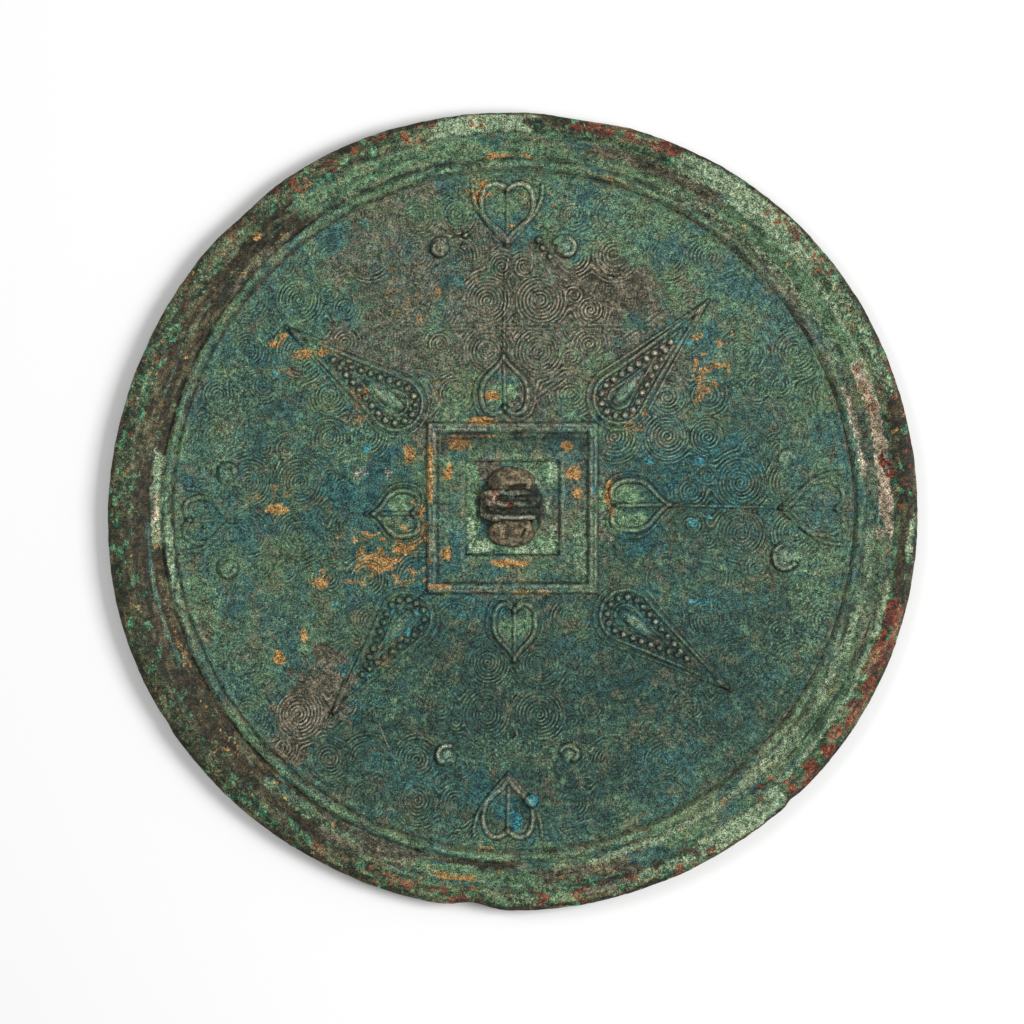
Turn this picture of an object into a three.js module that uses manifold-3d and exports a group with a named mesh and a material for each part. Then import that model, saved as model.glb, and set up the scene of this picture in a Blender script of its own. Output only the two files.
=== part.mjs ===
// An ancient bronze mirror, cast in one piece. It lies on its flat polished face, so the
// ornamented back, with its carrying knob, looks up. Millimetres, +Z up.
// The origin is at the middle of the polished face.
import * as THREE from 'three';
import { mergeVertices } from 'three/addons/utils/BufferGeometryUtils.js';
import Module from 'manifold-3d';

// ---- driving dimensions ------------------------------------------------------------------
const DISC_RADIUS = 100;
const FIELD_RADIUS = 83.9;
const FIELD_Z = 1.8;
const RIM_Z = 6.0;
const RIM_SEGMENTS = 80;
const BRONZE_COLOUR = 0x3f6f60;

// The disc is a little oval and its edge wanders: [waves round the edge, size, angle of a crest].
const EDGE_WAVES = [
  [2, 0.72, 8],
  [3, 0.12, -31],
  [4, 0.2, 35],
  [5, 0.24, -20],
];
// Where the edge has lost metal: [angle, depth, half width in degrees].
const EDGE_LOSSES = [
  [264, 1.5, 3],
  [80, 0.6, 5],
  [132, 0.5, 5],
];

// The square field round the knob: half sizes of its frame, and where its middle lies.
const SQUARE_CENTRE = [-0.12, 0.74];
const SQUARE_OUTER = 21.2;
const SQUARE_INNER = 11.8;
const SQUARE_BAND_Z = 2.5;
const SQUARE_RIDGE_Z = 3.1;

// The knob: a strap with three cords along it, arched from west to east over a hole for a cord.
const KNOB_CENTRE = [-0.6, 1.5];
const KNOB_SPAN = 15.6;
const KNOB_WIDTH = 8.2;
const KNOB_TOP_Z = 7.2;
const CORD_RIDGE_RISE = 0.9;
const CORD_RIDGE_WIDTH = 1.7;
const CORD_RIDGE_BEVEL = 0.45;
const CORD_RIDGE_OFFSETS = [-3.1, 0.2, 3.1];
const HOLE_HALF_WIDTH = 3.4;
const HOLE_HEIGHT = 3.2;
const SEAT_RADIUS = 8.4;
const SEAT_RISE = 0.45;

// Relief lines: how wide they are at the foot and how far they stand up.
const LINE = { foot: 1.3, rise: 0.75 };
const THIN_LINE = { foot: 0.8, rise: 0.45 };
const VEIN = { foot: 1.2, rise: 0.6 };
const HOOK_LINE = { foot: 1.9, rise: 0.9 };
const BURY = 0.5;

// Heart leaves: [x and y of the cleft, x and y of the tip, full width].
const SQUARE_LEAVES = [
  [-2.0, 24.2, -2.3, 38.6, 13.6],
  [24.6, 1.3, 39.1, 1.6, 14.6],
  [-23.6, -0.6, -34.9, -0.7, 13.4],
  [0.4, -23.2, 0.4, -37.1, 12.4],
];
const RIM_LEAVES = [
  [-1.4, 81.3, -1.4, 66.9, 15.0],
  [82.0, 0.7, 67.4, 0.7, 15.4],
  [-1.3, -81.0, -1.1, -66.3, 14.4],
  [-81.6, -2.2, -69.9, -2.5, 13.2],
];
// Long leaves on the diagonals: [x and y of the round end's middle, x and y of the tip, radius].
const LONG_LEAVES = [
  [26.4, 28.1, 47.6, 51.3, 6.9],
  [-29.1, 26.7, -55.1, 44.8, 7.2],
  [-26.7, -26.6, -44.6, -50.0, 7.0],
  [28.1, -26.0, 53.2, -43.8, 7.0],
];
// Inside a long leaf: how far in from its edge the row of pearls and the inner line run, and
// what share of the leaf's length they reach before their two sides meet.
const PEARL_RADIUS = 0.78;
const PEARL_PITCH = 2.2;
const PEARL_SIDES = 5;
const PEARL_INSET = 2.4;
const PEARL_REACH = 0.58;
const INNER_INSET = 3.7;
const INNER_REACH = 0.44;
const BOSS = { start: -2.6, halfLength: 6.2, halfWidth: 1.8, rise: 0.8 };

// Curled hooks beside the rim leaves: [x, y, radius, angle where the curl starts, turn].
const HOOKS = [
  [13.1, 65.4, 2.9, 150, -250],
  [-18.1, 65.2, 2.4, 60, 230],
  [67.9, -11.4, 2.7, 60, -240],
  [67.9, 12.8, 2.6, -60, 240],
  [-16.7, -60.9, 3.0, 20, 220],
  [14.4, -60.6, 2.6, 160, -220],
  [-70.6, 9.6, 2.6, 240, -230],
  [-70.6, -14.4, 2.6, 120, 230],
];
// Loose pearls near the rim leaves, and the taller bead beside the south leaf: [x, y, radius].
const BEADS = [
  [6.3, 67.4, 0.8],
  [7.4, 65.4, 0.8],
  [9.2, 63.3, 0.8],
  [-11.8, 68.6, 0.8],
  [-12.2, 65.6, 0.8],
  [4.5, -72.1, 1.6],
];

const wasm = await Module();
wasm.setup();

// ---- helpers ----------------------------------------------------------------------------
const degrees = THREE.MathUtils.degToRad;

function toSolid(geometry) {
  const bare = geometry.clone();
  bare.deleteAttribute('normal');
  bare.deleteAttribute('uv');
  const merged = mergeVertices(bare, 1e-4);
  return new wasm.Manifold(
    new wasm.Mesh({
      numProp: 3,
      vertProperties: new Float32Array(merged.attributes.position.array),
      triVerts: new Uint32Array(merged.index.array),
    }),
  );
}

function toGeometry(solid) {
  const mesh = solid.getMesh();
  const geometry = new THREE.BufferGeometry();
  geometry.setAttribute('position', new THREE.BufferAttribute(mesh.vertProperties, 3));
  geometry.setIndex(new THREE.BufferAttribute(mesh.triVerts, 1));
  geometry.computeVertexNormals();
  return geometry;
}

// A solid turned round Z from a profile of [radius, height] points.
function turned(profile, segments) {
  const points = profile.map(([r, z]) => new THREE.Vector2(r, z));
  return new THREE.LatheGeometry(points, segments).rotateX(Math.PI / 2);
}

// A raised line along a flat path: a ridge with a sharp crest, its foot buried in the field.
function ridge(path, line, baseZ = FIELD_Z) {
  const last = path.length - 1;
  const position = [];
  const index = [];
  path.forEach((point, i) => {
    const before = path[Math.max(i - 1, 0)];
    const after = path[Math.min(i + 1, last)];
    const along = after.clone().sub(before).normalize();
    const side = new THREE.Vector2(-along.y, along.x).multiplyScalar(line.foot / 2);
    position.push(point.x + side.x, point.y + side.y, baseZ - BURY);
    position.push(point.x, point.y, baseZ + line.rise);
    position.push(point.x - side.x, point.y - side.y, baseZ - BURY);
  });
  for (let i = 0; i < last; i += 1) {
    for (let k = 0; k < 3; k += 1) {
      const a = 3 * i + k;
      const b = 3 * i + ((k + 1) % 3);
      index.push(a, b, a + 3, b, b + 3, a + 3);
    }
  }
  index.push(0, 2, 1, 3 * last, 3 * last + 1, 3 * last + 2);
  const geometry = new THREE.BufferGeometry();
  geometry.setAttribute('position', new THREE.Float32BufferAttribute(position, 3));
  geometry.setIndex(index);
  return geometry;
}

// Carries points drawn along +X, from a root, onto a leaf that runs from root to tip.
function placed(points, rootX, rootY, tipX, tipY) {
  const turn = Math.atan2(tipY - rootY, tipX - rootX);
  const root = new THREE.Vector2(rootX, rootY);
  return points.map((p) => p.clone().rotateAround(new THREE.Vector2(), turn).add(root));
}

const mirrored = (points) => points.map((p) => new THREE.Vector2(p.x, -p.y));

// ---- the cast disc with its rim -----------------------------------------------------------
function edgeOffset(angle) {
  let offset = 0;
  for (const [waves, size, crest] of EDGE_WAVES) {
    offset += size * Math.cos(waves * (angle - degrees(crest)));
  }
  for (const [at, depth, halfWidth] of EDGE_LOSSES) {
    const turn = Math.atan2(Math.sin(angle - degrees(at)), Math.cos(angle - degrees(at)));
    offset -= depth * Math.exp(-((turn / degrees(halfWidth)) ** 2));
  }
  return offset;
}

function disc() {
  const groove = FIELD_Z - 0.2;
  const geometry = turned(
    [
      [0, 0],
      [99.0, 0],
      [DISC_RADIUS, 0.9],
      [DISC_RADIUS, 4.7],
      [99.1, RIM_Z - 0.3],
      [97.2, RIM_Z],
      [94.8, RIM_Z - 0.4],
      [91.4, 3.9],
      [88.0, 2.3],
      [87.6, groove],
      [87.0, 2.6],
      [85.5, 2.7],
      [85.0, groove],
      [84.5, 2.1],
      [FIELD_RADIUS - 0.5, FIELD_Z],
      [0, FIELD_Z],
    ],
    RIM_SEGMENTS,
  );
  const position = geometry.attributes.position;
  for (let i = 0; i < position.count; i += 1) {
    const x = position.getX(i);
    const y = position.getY(i);
    const r = Math.hypot(x, y);
    const share = THREE.MathUtils.smoothstep(r, FIELD_RADIUS + 4, DISC_RADIUS);
    const grow = r > 0 ? 1 + (share * edgeOffset(Math.atan2(y, x))) / r : 1;
    position.setXY(i, x * grow, y * grow);
  }
  return geometry;
}

// ---- the square frame ----------------------------------------------------------------------
// A profile turned in four steps gives a square band with mitred corners.
function squareFrame() {
  const half = [
    [SQUARE_INNER, FIELD_Z - BURY],
    [SQUARE_OUTER, FIELD_Z - BURY],
    [SQUARE_OUTER - 0.4, SQUARE_RIDGE_Z - 0.2],
    [SQUARE_OUTER - 1.1, SQUARE_RIDGE_Z],
    [SQUARE_OUTER - 2.0, SQUARE_RIDGE_Z - 0.2],
    [SQUARE_OUTER - 2.6, SQUARE_BAND_Z - 0.1],
    [SQUARE_OUTER - 5.4, SQUARE_BAND_Z - 0.2],
    [SQUARE_INNER + 0.8, SQUARE_BAND_Z + 0.2],
    [SQUARE_INNER + 0.1, SQUARE_BAND_Z],
    [SQUARE_INNER, FIELD_Z - BURY],
  ];
  const cornerwise = half.map(([r, z]) => [r * Math.SQRT2, z]);
  return turned(cornerwise, 4)
    .rotateZ(Math.PI / 4)
    .translate(...SQUARE_CENTRE, 0);
}

// ---- the knob ------------------------------------------------------------------------------
// An arch seen from the south, drawn with x along the span, stood up and laid across Y.
function arch(halfSpan, topZ, width, offset, bevel) {
  const foot = FIELD_Z - BURY;
  const shape = new THREE.Shape();
  shape.moveTo(-halfSpan, foot);
  shape.bezierCurveTo(-halfSpan * 0.9, topZ * 0.75, -halfSpan * 0.55, topZ, 0, topZ);
  shape.bezierCurveTo(halfSpan * 0.55, topZ, halfSpan * 0.9, topZ * 0.75, halfSpan, foot);
  return new THREE.ExtrudeGeometry(shape, {
    depth: width - 2 * bevel,
    bevelEnabled: bevel > 0,
    bevelThickness: bevel,
    bevelSize: bevel,
    bevelOffset: -bevel,
    bevelSegments: 1,
    curveSegments: 6,
  })
    .translate(0, 0, bevel - width / 2)
    .rotateX(Math.PI / 2)
    .translate(KNOB_CENTRE[0], KNOB_CENTRE[1] + offset, 0);
}

function cordHole() {
  const shape = new THREE.Shape();
  const spring = FIELD_Z + SEAT_RISE + HOLE_HEIGHT * 0.35;
  const top = FIELD_Z + SEAT_RISE + HOLE_HEIGHT;
  shape.moveTo(-HOLE_HALF_WIDTH, FIELD_Z + SEAT_RISE + 0.05);
  shape.lineTo(HOLE_HALF_WIDTH, FIELD_Z + SEAT_RISE + 0.05);
  shape.lineTo(HOLE_HALF_WIDTH, spring);
  shape.bezierCurveTo(HOLE_HALF_WIDTH, top, -HOLE_HALF_WIDTH, top, -HOLE_HALF_WIDTH, spring);
  const length = KNOB_WIDTH + 6;
  return new THREE.ExtrudeGeometry(shape, { depth: length, bevelEnabled: false, curveSegments: 6 })
    .translate(0, 0, -length / 2)
    .rotateX(Math.PI / 2)
    .translate(...KNOB_CENTRE, 0);
}

// Earth packed against both mouths of the hole, lower than the hole's crown.
function earthLump(y, halfWidth, reach, rise) {
  const dome = [
    [0, -0.3],
    [1, -0.3],
    [0.93, 0.4],
    [0.6, 0.85],
    [0, 1],
  ];
  return turned(dome, 11)
    .scale(halfWidth, reach, rise)
    .translate(KNOB_CENTRE[0] + 0.1, y, FIELD_Z + SEAT_RISE);
}

function knob() {
  const seat = turned(
    [
      [0, FIELD_Z - BURY],
      [SEAT_RADIUS, FIELD_Z - BURY],
      [SEAT_RADIUS - 0.3, FIELD_Z + SEAT_RISE],
      [0, FIELD_Z + SEAT_RISE],
    ],
    20,
  ).translate(KNOB_CENTRE[0], KNOB_CENTRE[1] + 0.3, 0);
  const strap = arch(KNOB_SPAN / 2 - 0.3, KNOB_TOP_Z - CORD_RIDGE_RISE, KNOB_WIDTH, 0, 0);
  let solid = toSolid(strap);
  for (const offset of CORD_RIDGE_OFFSETS) {
    const cord = arch(KNOB_SPAN / 2, KNOB_TOP_Z, CORD_RIDGE_WIDTH, offset, CORD_RIDGE_BEVEL);
    solid = solid.add(toSolid(cord));
  }
  solid = solid.subtract(toSolid(cordHole()));
  solid = solid.add(toSolid(seat));
  solid = solid.add(toSolid(earthLump(KNOB_CENTRE[1] + 5.9, 5.1, 3.3, 2.3)));
  return solid.add(toSolid(earthLump(KNOB_CENTRE[1] - 6.6, 5.2, 3.7, 2.4)));
}

// ---- leaves --------------------------------------------------------------------------------
// Half of a heart leaf along +X: from its cleft round one lobe and in an ogee to its tip.
function heartSide(length, halfWidth, steps) {
  const lobe = new THREE.CubicBezierCurve(
    new THREE.Vector2(0.1 * length, 0),
    new THREE.Vector2(-0.1 * length, 0.45 * halfWidth),
    new THREE.Vector2(-0.02 * length, halfWidth),
    new THREE.Vector2(0.34 * length, halfWidth),
  );
  const flank = new THREE.CubicBezierCurve(
    new THREE.Vector2(0.34 * length, halfWidth),
    new THREE.Vector2(0.7 * length, halfWidth),
    new THREE.Vector2(0.72 * length, 0.22 * halfWidth),
    new THREE.Vector2(length, 0),
  );
  return [...lobe.getPoints(steps), ...flank.getPoints(steps).slice(1)];
}

function heartLeaf([rootX, rootY, tipX, tipY, width]) {
  const length = Math.hypot(tipX - rootX, tipY - rootY);
  const inset = LINE.foot / 2;
  const side = heartSide(length, width / 2 - inset, 5);
  const vein = [new THREE.Vector2(0.12 * length, 0), new THREE.Vector2(0.78 * length, 0)];
  const place = (points) => placed(points, rootX, rootY, tipX, tipY);
  return [
    ridge(place(side), LINE),
    ridge(place(mirrored(side)), LINE),
    ridge(place(vein), VEIN),
  ];
}

// A second line that follows a rim leaf outside, open towards the rim.
function leafSheath([rootX, rootY, tipX, tipY, width]) {
  const length = Math.hypot(tipX - rootX, tipY - rootY);
  const half = width / 2 + 1.2;
  const side = new THREE.CubicBezierCurve(
    new THREE.Vector2(0.02 * length, half),
    new THREE.Vector2(0.5 * length, half + 0.3),
    new THREE.Vector2(0.72 * length, 0.45 * half),
    new THREE.Vector2(length + 1.0, 0),
  ).getPoints(5);
  const place = (points) => placed(points, rootX, rootY, tipX, tipY);
  return [ridge(place(side), THIN_LINE), ridge(place(mirrored(side)), THIN_LINE)];
}

// Half of a long leaf along +X: round its back in an arc, then in an ogee to its sharp tip.
function longSide(length, radius, arcSteps, flankSteps) {
  const shoulder = degrees(75);
  const arc = new THREE.EllipseCurve(0, 0, radius, radius, Math.PI, shoulder, true);
  const start = new THREE.Vector2(radius * Math.cos(shoulder), radius * Math.sin(shoulder));
  const flank = new THREE.CubicBezierCurve(
    start,
    start.clone().add(new THREE.Vector2(0.28 * length, -0.075 * length)),
    new THREE.Vector2(0.72 * length, 0.26 * radius),
    new THREE.Vector2(length, 0),
  );
  return [...arc.getPoints(arcSteps), ...flank.getPoints(flankSteps).slice(1)];
}

// Points spaced evenly along a path, its two ends among them.
function spaced(path, pitch) {
  const curve = new THREE.CatmullRomCurve3(path.map((p) => new THREE.Vector3(p.x, p.y, 0)));
  const count = Math.floor(curve.getLength() / pitch);
  return curve.getSpacedPoints(count).map((p) => new THREE.Vector2(p.x, p.y));
}

function pearl(x, y, radius) {
  const dome = [
    [0, -BURY],
    [radius, -BURY],
    [0.8 * radius, 0.65 * radius],
    [0, radius],
  ];
  return turned(dome, PEARL_SIDES).translate(x, y, FIELD_Z);
}

function longLeaf([rootX, rootY, tipX, tipY, radius]) {
  const length = Math.hypot(tipX - rootX, tipY - rootY);
  const place = (points) => placed(points, rootX, rootY, tipX, tipY);
  const outer = longSide(length, radius - LINE.foot / 2, 5, 5);
  const inner = longSide(INNER_REACH * length, radius - INNER_INSET, 4, 3);
  const row = longSide(PEARL_REACH * length, radius - PEARL_INSET, 10, 10);
  const [bossMiddle] = place([new THREE.Vector2(BOSS.start + BOSS.halfLength, 0)]);
  const boss = new THREE.SphereGeometry(1, 8, 6)
    .rotateX(Math.PI / 2)
    .scale(BOSS.halfLength, BOSS.halfWidth, BOSS.rise)
    .rotateZ(Math.atan2(tipY - rootY, tipX - rootX))
    .translate(bossMiddle.x, bossMiddle.y, FIELD_Z);
  const beads = spaced(row, PEARL_PITCH);
  const pearls = [...place(beads), ...place(mirrored(beads.slice(1, -1)))];
  return [
    ridge(place(outer), LINE),
    ridge(place(mirrored(outer)), LINE),
    ridge(place(inner), THIN_LINE),
    ridge(place(mirrored(inner)), THIN_LINE),
    boss,
    ...pearls.map((p) => pearl(p.x, p.y, PEARL_RADIUS)),
  ];
}

// ---- hooks ---------------------------------------------------------------------------------
function hook([x, y, radius, start, turn]) {
  const steps = 6;
  const path = [];
  for (let i = 0; i <= steps; i += 1) {
    const share = i / steps;
    const angle = degrees(start + turn * share);
    const r = radius * (1 - 0.45 * share);
    path.push(new THREE.Vector2(x + r * Math.cos(angle), y + r * Math.sin(angle)));
  }
  return ridge(path, HOOK_LINE);
}

// ---- the whole casting ---------------------------------------------------------------------
function mirror() {
  const relief = [
    squareFrame(),
    ...SQUARE_LEAVES.flatMap(heartLeaf),
    ...RIM_LEAVES.flatMap(heartLeaf),
    ...RIM_LEAVES.flatMap(leafSheath),
    ...LONG_LEAVES.flatMap(longLeaf),
    ...HOOKS.map(hook),
    ...BEADS.map((bead) => pearl(...bead)),
  ];
  let solid = toSolid(disc());
  for (const form of relief) {
    solid = solid.add(toSolid(form));
  }
  solid = solid.add(knob());
  const patina = new THREE.MeshStandardMaterial({
    color: BRONZE_COLOUR,
    roughness: 0.7,
    metalness: 0.35,
  });
  const mesh = new THREE.Mesh(toGeometry(solid), patina);
  mesh.name = 'mirror';
  return mesh;
}

const part = new THREE.Group();
part.add(mirror());

export default part;
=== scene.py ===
import math

import bpy
import numpy as np
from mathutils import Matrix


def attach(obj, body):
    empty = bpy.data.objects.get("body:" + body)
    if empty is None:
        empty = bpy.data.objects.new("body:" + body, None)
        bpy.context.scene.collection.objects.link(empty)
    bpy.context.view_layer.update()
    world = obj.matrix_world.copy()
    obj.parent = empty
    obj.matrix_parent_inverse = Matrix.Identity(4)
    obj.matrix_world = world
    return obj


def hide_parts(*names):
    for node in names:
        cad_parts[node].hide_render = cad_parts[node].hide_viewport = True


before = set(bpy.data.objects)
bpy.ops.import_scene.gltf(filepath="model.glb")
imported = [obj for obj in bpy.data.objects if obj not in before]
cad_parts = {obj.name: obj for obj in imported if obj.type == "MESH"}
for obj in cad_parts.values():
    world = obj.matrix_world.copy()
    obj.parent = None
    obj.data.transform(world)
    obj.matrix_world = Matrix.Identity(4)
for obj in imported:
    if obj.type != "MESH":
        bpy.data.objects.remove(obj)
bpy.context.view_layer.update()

MM = 0.001

# ---- driving dimensions ------------------------------------------------------------------
DISC_RADIUS = 100.0
BORDER_RADIUS = 83.2  # inner foot of the thin ridge round the field
FIELD_EDGE = 84.3  # where the field starts to fall into the groove
GROOVE_RADIUS = 84.75  # where the field meets the rim, in the bottom of that groove
GROOVE_DROP = 0.25
RIM_FOOT = 85.0
LIP_STARTS = 93.6
LIP_FULL = 95.0
FIELD_Z = 1.8
RIM_Z = 6.0
FACE_THICKNESS = 0.8
WALL_TOP_Z = 4.7  # top and number of rows of the disc's outer wall
WALL_ROWS = 8
BACK_CELL = GROOVE_RADIUS / 324  # size of one face of the ornamented back
FACE_CELL = 1.1
RIM_STEPS = 1240
EDGE_INSET = 0.06  # draws the roughened wall in, so that no lump stands past the outline
# The worn outline: how many waves go round, their depth, and the angle of a crest in degrees.
EDGE_WAVES = [(2, 0.72, 8), (3, 0.12, -31), (4, 0.2, 35), (5, 0.24, -20)]
# Where the edge has lost metal: angle in degrees, depth, half width in degrees.
EDGE_LOSSES = [(264, 1.5, 3), (80, 0.6, 5), (132, 0.5, 5), (211, 0.35, 1.2), (314, 0.4, 1.0)]

# The square frame is given by half its outer and inner sides, and the knob by its full ones.
SQUARE_CENTRE = (-0.12, 0.74)
SQUARE_OUTER = 21.2
SQUARE_INNER = 11.8
KNOB_CENTRE = (-0.6, 1.5)
KNOB_SPAN = 15.6
KNOB_WIDTH = 8.2
KNOB_TOP_Z = 7.1
SEAT_Z = 2.25
SEAT_RADIUS = 8.4
CORD_RIDGE_OFFSETS = (-3.1, 0.2, 3.1)
CORD_RIDGE_RISE = 1.0
HOLE_HALF_WIDTH = 3.4
HOLE_HEIGHT = 3.0
KNOB_STATIONS = 79
KNOB_TOP_STEPS = 49
KNOB_SIDE_STEPS = 7

# Heart leaves: x and y of the cleft, x and y of the tip, full width.
SQUARE_LEAVES = [
    (-2.0, 24.2, -2.3, 38.6, 13.6),
    (24.6, 1.3, 39.1, 1.6, 14.6),
    (-23.6, -0.6, -34.9, -0.7, 13.4),
    (0.4, -23.2, 0.4, -37.1, 12.4),
]
RIM_LEAVES = [
    (-1.4, 81.3, -1.4, 66.9, 15.0),
    (82.0, 0.7, 67.4, 0.7, 15.4),
    (-1.3, -81.0, -1.1, -66.3, 14.4),
    (-81.6, -2.2, -69.9, -2.5, 13.2),
]
# Long leaves: x and y of the round end's middle, x and y of the tip, radius of the round end.
LONG_LEAVES = [
    (26.4, 28.1, 47.6, 51.3, 6.9),
    (-29.1, 26.7, -55.1, 44.8, 7.2),
    (-26.7, -26.6, -44.6, -50.0, 7.0),
    (28.1, -26.0, 53.2, -43.8, 7.0),
]
# Curled hooks: x, y, radius, angle where the curl starts, turn.
HOOKS = [
    (13.1, 65.4, 2.9, 150, -250),
    (-18.1, 65.2, 2.4, 60, 230),
    (67.9, -11.9, 3.6, 108, 225),
    (67.9, 12.8, 2.6, -60, 240),
    (-16.7, -60.9, 3.0, 20, 220),
    (14.4, -60.6, 2.6, 160, -220),
    (-70.6, 9.6, 2.6, 240, -230),
    (-70.6, -14.4, 2.6, 120, 230),
]
# Loose beads near the rim leaves and hooks: x, y, radius.
BEADS = [
    (6.3, 67.4, 0.8),
    (7.4, 65.4, 0.8),
    (9.2, 63.3, 0.8),
    (-11.8, 68.6, 0.8),
    (-12.2, 65.6, 0.8),
    (4.5, -72.1, 1.6),
    (70.1, -13.3, 0.7),
]

# Stems that join leaf tips: x and y of both ends.
STEMS = [(40.0, 1.5, 66.6, 0.8), (-2.3, 39.6, -2.0, 55.0), (-1.9, 58.0, -1.2, 63.0)]

# Scratches across the bare patch at the lower left: x and y of both ends.
SCRATCHES = [(-34.9, -48.6, -32.7, -54.5), (-32.7, -54.5, -29.2, -62.9)]

# The spiral ground is laid out in lozenges. A lozenge is halved by a line along its long axis
# or its short one in turn, and each quarter holds the same whorls: x, y, radius from its middle.
LOZENGE_WIDTH = 31.7
LOZENGE_HEIGHT = 22.6
LOZENGE_CENTRE = (-0.2, 0.74)
WEST_SQUEEZE = 1.07
LONG_SPLIT_WHORLS = [(6.7, 6.4, 6.6), (15.1, 7.8, 2.4), (19.2, 4.2, 3.5), (2.9, 14.9, 2.9)]
SHORT_SPLIT_WHORLS = [(6.6, 5.0, 5.3), (16.8, 5.3, 4.2)]
SPIRAL_PITCH = 0.89
GRANULE_PITCH = 1.05
GROUND_RISE = 0.24
WANDER = 0.35  # how far, and over what length, the lozenges stray from their even places
WANDER_SIZE = 17
WHORL_BLEND = 1.6  # how tightly the wrapped lines follow the whorls
GRANULES_START = 1.9  # how far from the nearest whorl the wrapped lines give way to granules
GRANULES_FULL = 2.3

# How sharply the leaves' lines stand out: x, y, half width, change.
LINE_WEAR = [
    (0, 56, 30, 0.3), (44, 36, 24, 0.3), (44, -36, 20, 0.2), (-76, -2, 14, -0.3),
    (76, 0, 14, -0.3), (-2, 77, 9, -0.35), (-36, -38, 20, -0.4),
]
# How crisp the ground is: x, y, half width, half height, change.
GROUND_WEAR = [
    (6, 46, 34, 26, 0.25), (40, 20, 22, 22, 0.25), (0, -46, 26, 14, 0.1),
    (58, 48, 20, 22, -0.2), (-58, -34, 16, 14, -0.4), (60, -52, 24, 18, -0.2),
    (-50, -52, 9, 9, 0.5), (20, -72, 22, 9, -0.2), (-48, 48, 18, 14, 0.2),
]
# Where the lines between the lozenges are still clear: x, y, half width, half height, strength.
CLEAR_LINES = [(8, 42, 52, 24, 0.85)]


# ---- numbers -----------------------------------------------------------------------------
def smooth_step(low, high, value):
    t = np.clip((value - low) / (high - low), 0, 1)
    return t * t * (3 - 2 * t)


def hills(x, y, size, seed):
    """Smooth random hills and hollows, from -1 to 1, about `size` across."""
    turn = 0.7 + 1.3 * seed
    u = (x * math.cos(turn) - y * math.sin(turn)) / size + 1000
    v = (x * math.sin(turn) + y * math.cos(turn)) / size + 1000
    i, j = np.floor(u).astype(np.int64), np.floor(v).astype(np.int64)
    fu, fv = u - i, v - j
    su, sv = fu * fu * (3 - 2 * fu), fv * fv * (3 - 2 * fv)

    def corner(di, dj):
        h = ((i + di) * 73856093) ^ ((j + dj) * 19349663) ^ (seed * 83492791)
        h = ((h ^ (h >> 13)) * 1274126177) & 0x7FFFFFFF
        return ((h ^ (h >> 15)) & 0xFFFF) / 32767.5 - 1

    top = corner(0, 0) * (1 - su) + corner(1, 0) * su
    low = corner(0, 1) * (1 - su) + corner(1, 1) * su
    return top * (1 - sv) + low * sv


def rough(x, y, size, seed, octaves=4):
    """Hills on hills, each layer half the size of the last."""
    total, share = 0.0, 1.0
    for k in range(octaves):
        total = total + share * hills(x, y, size / 2**k, seed + 11 * k)
        share *= 0.55
    return total / 1.6


def with_zones(total, x, y, zones):
    """Adds soft-edged zones to a value: each is x, y, half width, half height, change."""
    for zone_x, zone_y, half_x, half_y, change in zones:
        away = -(((x - zone_x) / half_x) ** 2) - ((y - zone_y) / half_y) ** 2
        total = total + change * np.exp(away)
    return total


def soft_zones(x, y, zones):
    """Soft-edged zones over one another, from 0 to 1."""
    return np.clip(with_zones(0.0, x, y, zones), 0, 1)


# ---- lines and forms of the relief ---------------------------------------------------------
def cubic(a, b, c, d, steps):
    t = np.linspace(0, 1, steps + 1)[:, None]
    a, b, c, d = (np.array(p, float) for p in (a, b, c, d))
    return a * (1 - t) ** 3 + 3 * b * t * (1 - t) ** 2 + 3 * c * t * t * (1 - t) + d * t**3


def placed(path, root_x, root_y, tip_x, tip_y):
    """Carries points drawn along +X onto a leaf that runs from its root to its tip."""
    turn = math.atan2(tip_y - root_y, tip_x - root_x)
    c, s = math.cos(turn), math.sin(turn)
    return np.stack([root_x + path[:, 0] * c - path[:, 1] * s,
                     root_y + path[:, 0] * s + path[:, 1] * c], axis=1)


def mirrored(path):
    return path * [1, -1]


def heart_side(length, half_width):
    """Half of a heart leaf: from its cleft round one lobe and in an ogee to its tip."""
    lobe = cubic((0.1 * length, 0), (-0.1 * length, 0.45 * half_width),
                 (-0.02 * length, half_width), (0.34 * length, half_width), 14)
    flank = cubic((0.34 * length, half_width), (0.7 * length, half_width),
                  (0.72 * length, 0.22 * half_width), (length, 0), 14)
    return np.concatenate([lobe, flank[1:]])


def long_side(length, radius):
    """Half of a long leaf: round its back in an arc, then on to its sharp tip."""
    shoulder = math.radians(75)
    angle = np.linspace(math.pi, shoulder, 17)
    arc = np.stack([radius * np.cos(angle), radius * np.sin(angle)], axis=1)
    start = arc[-1]
    flank = cubic(start, start + [0.28 * length, -0.075 * length],
                  (0.72 * length, 0.26 * radius), (length, 0), 22)
    return np.concatenate([arc, flank[1:]])


def spaced(path, pitch):
    """Points spaced evenly along a path, its two ends among them."""
    run = np.concatenate([[0], np.cumsum(np.hypot(*np.diff(path, axis=0).T))])
    at = np.linspace(0, run[-1], int(run[-1] / pitch) + 1)
    return np.stack([np.interp(at, run, path[:, 0]), np.interp(at, run, path[:, 1])], axis=1)


def near_box(path, x, y, reach):
    low, high = path.min(axis=0) - reach, path.max(axis=0) + reach
    return np.flatnonzero((x > low[0]) & (x < high[0]) & (y > low[1]) & (y < high[1]))


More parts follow.
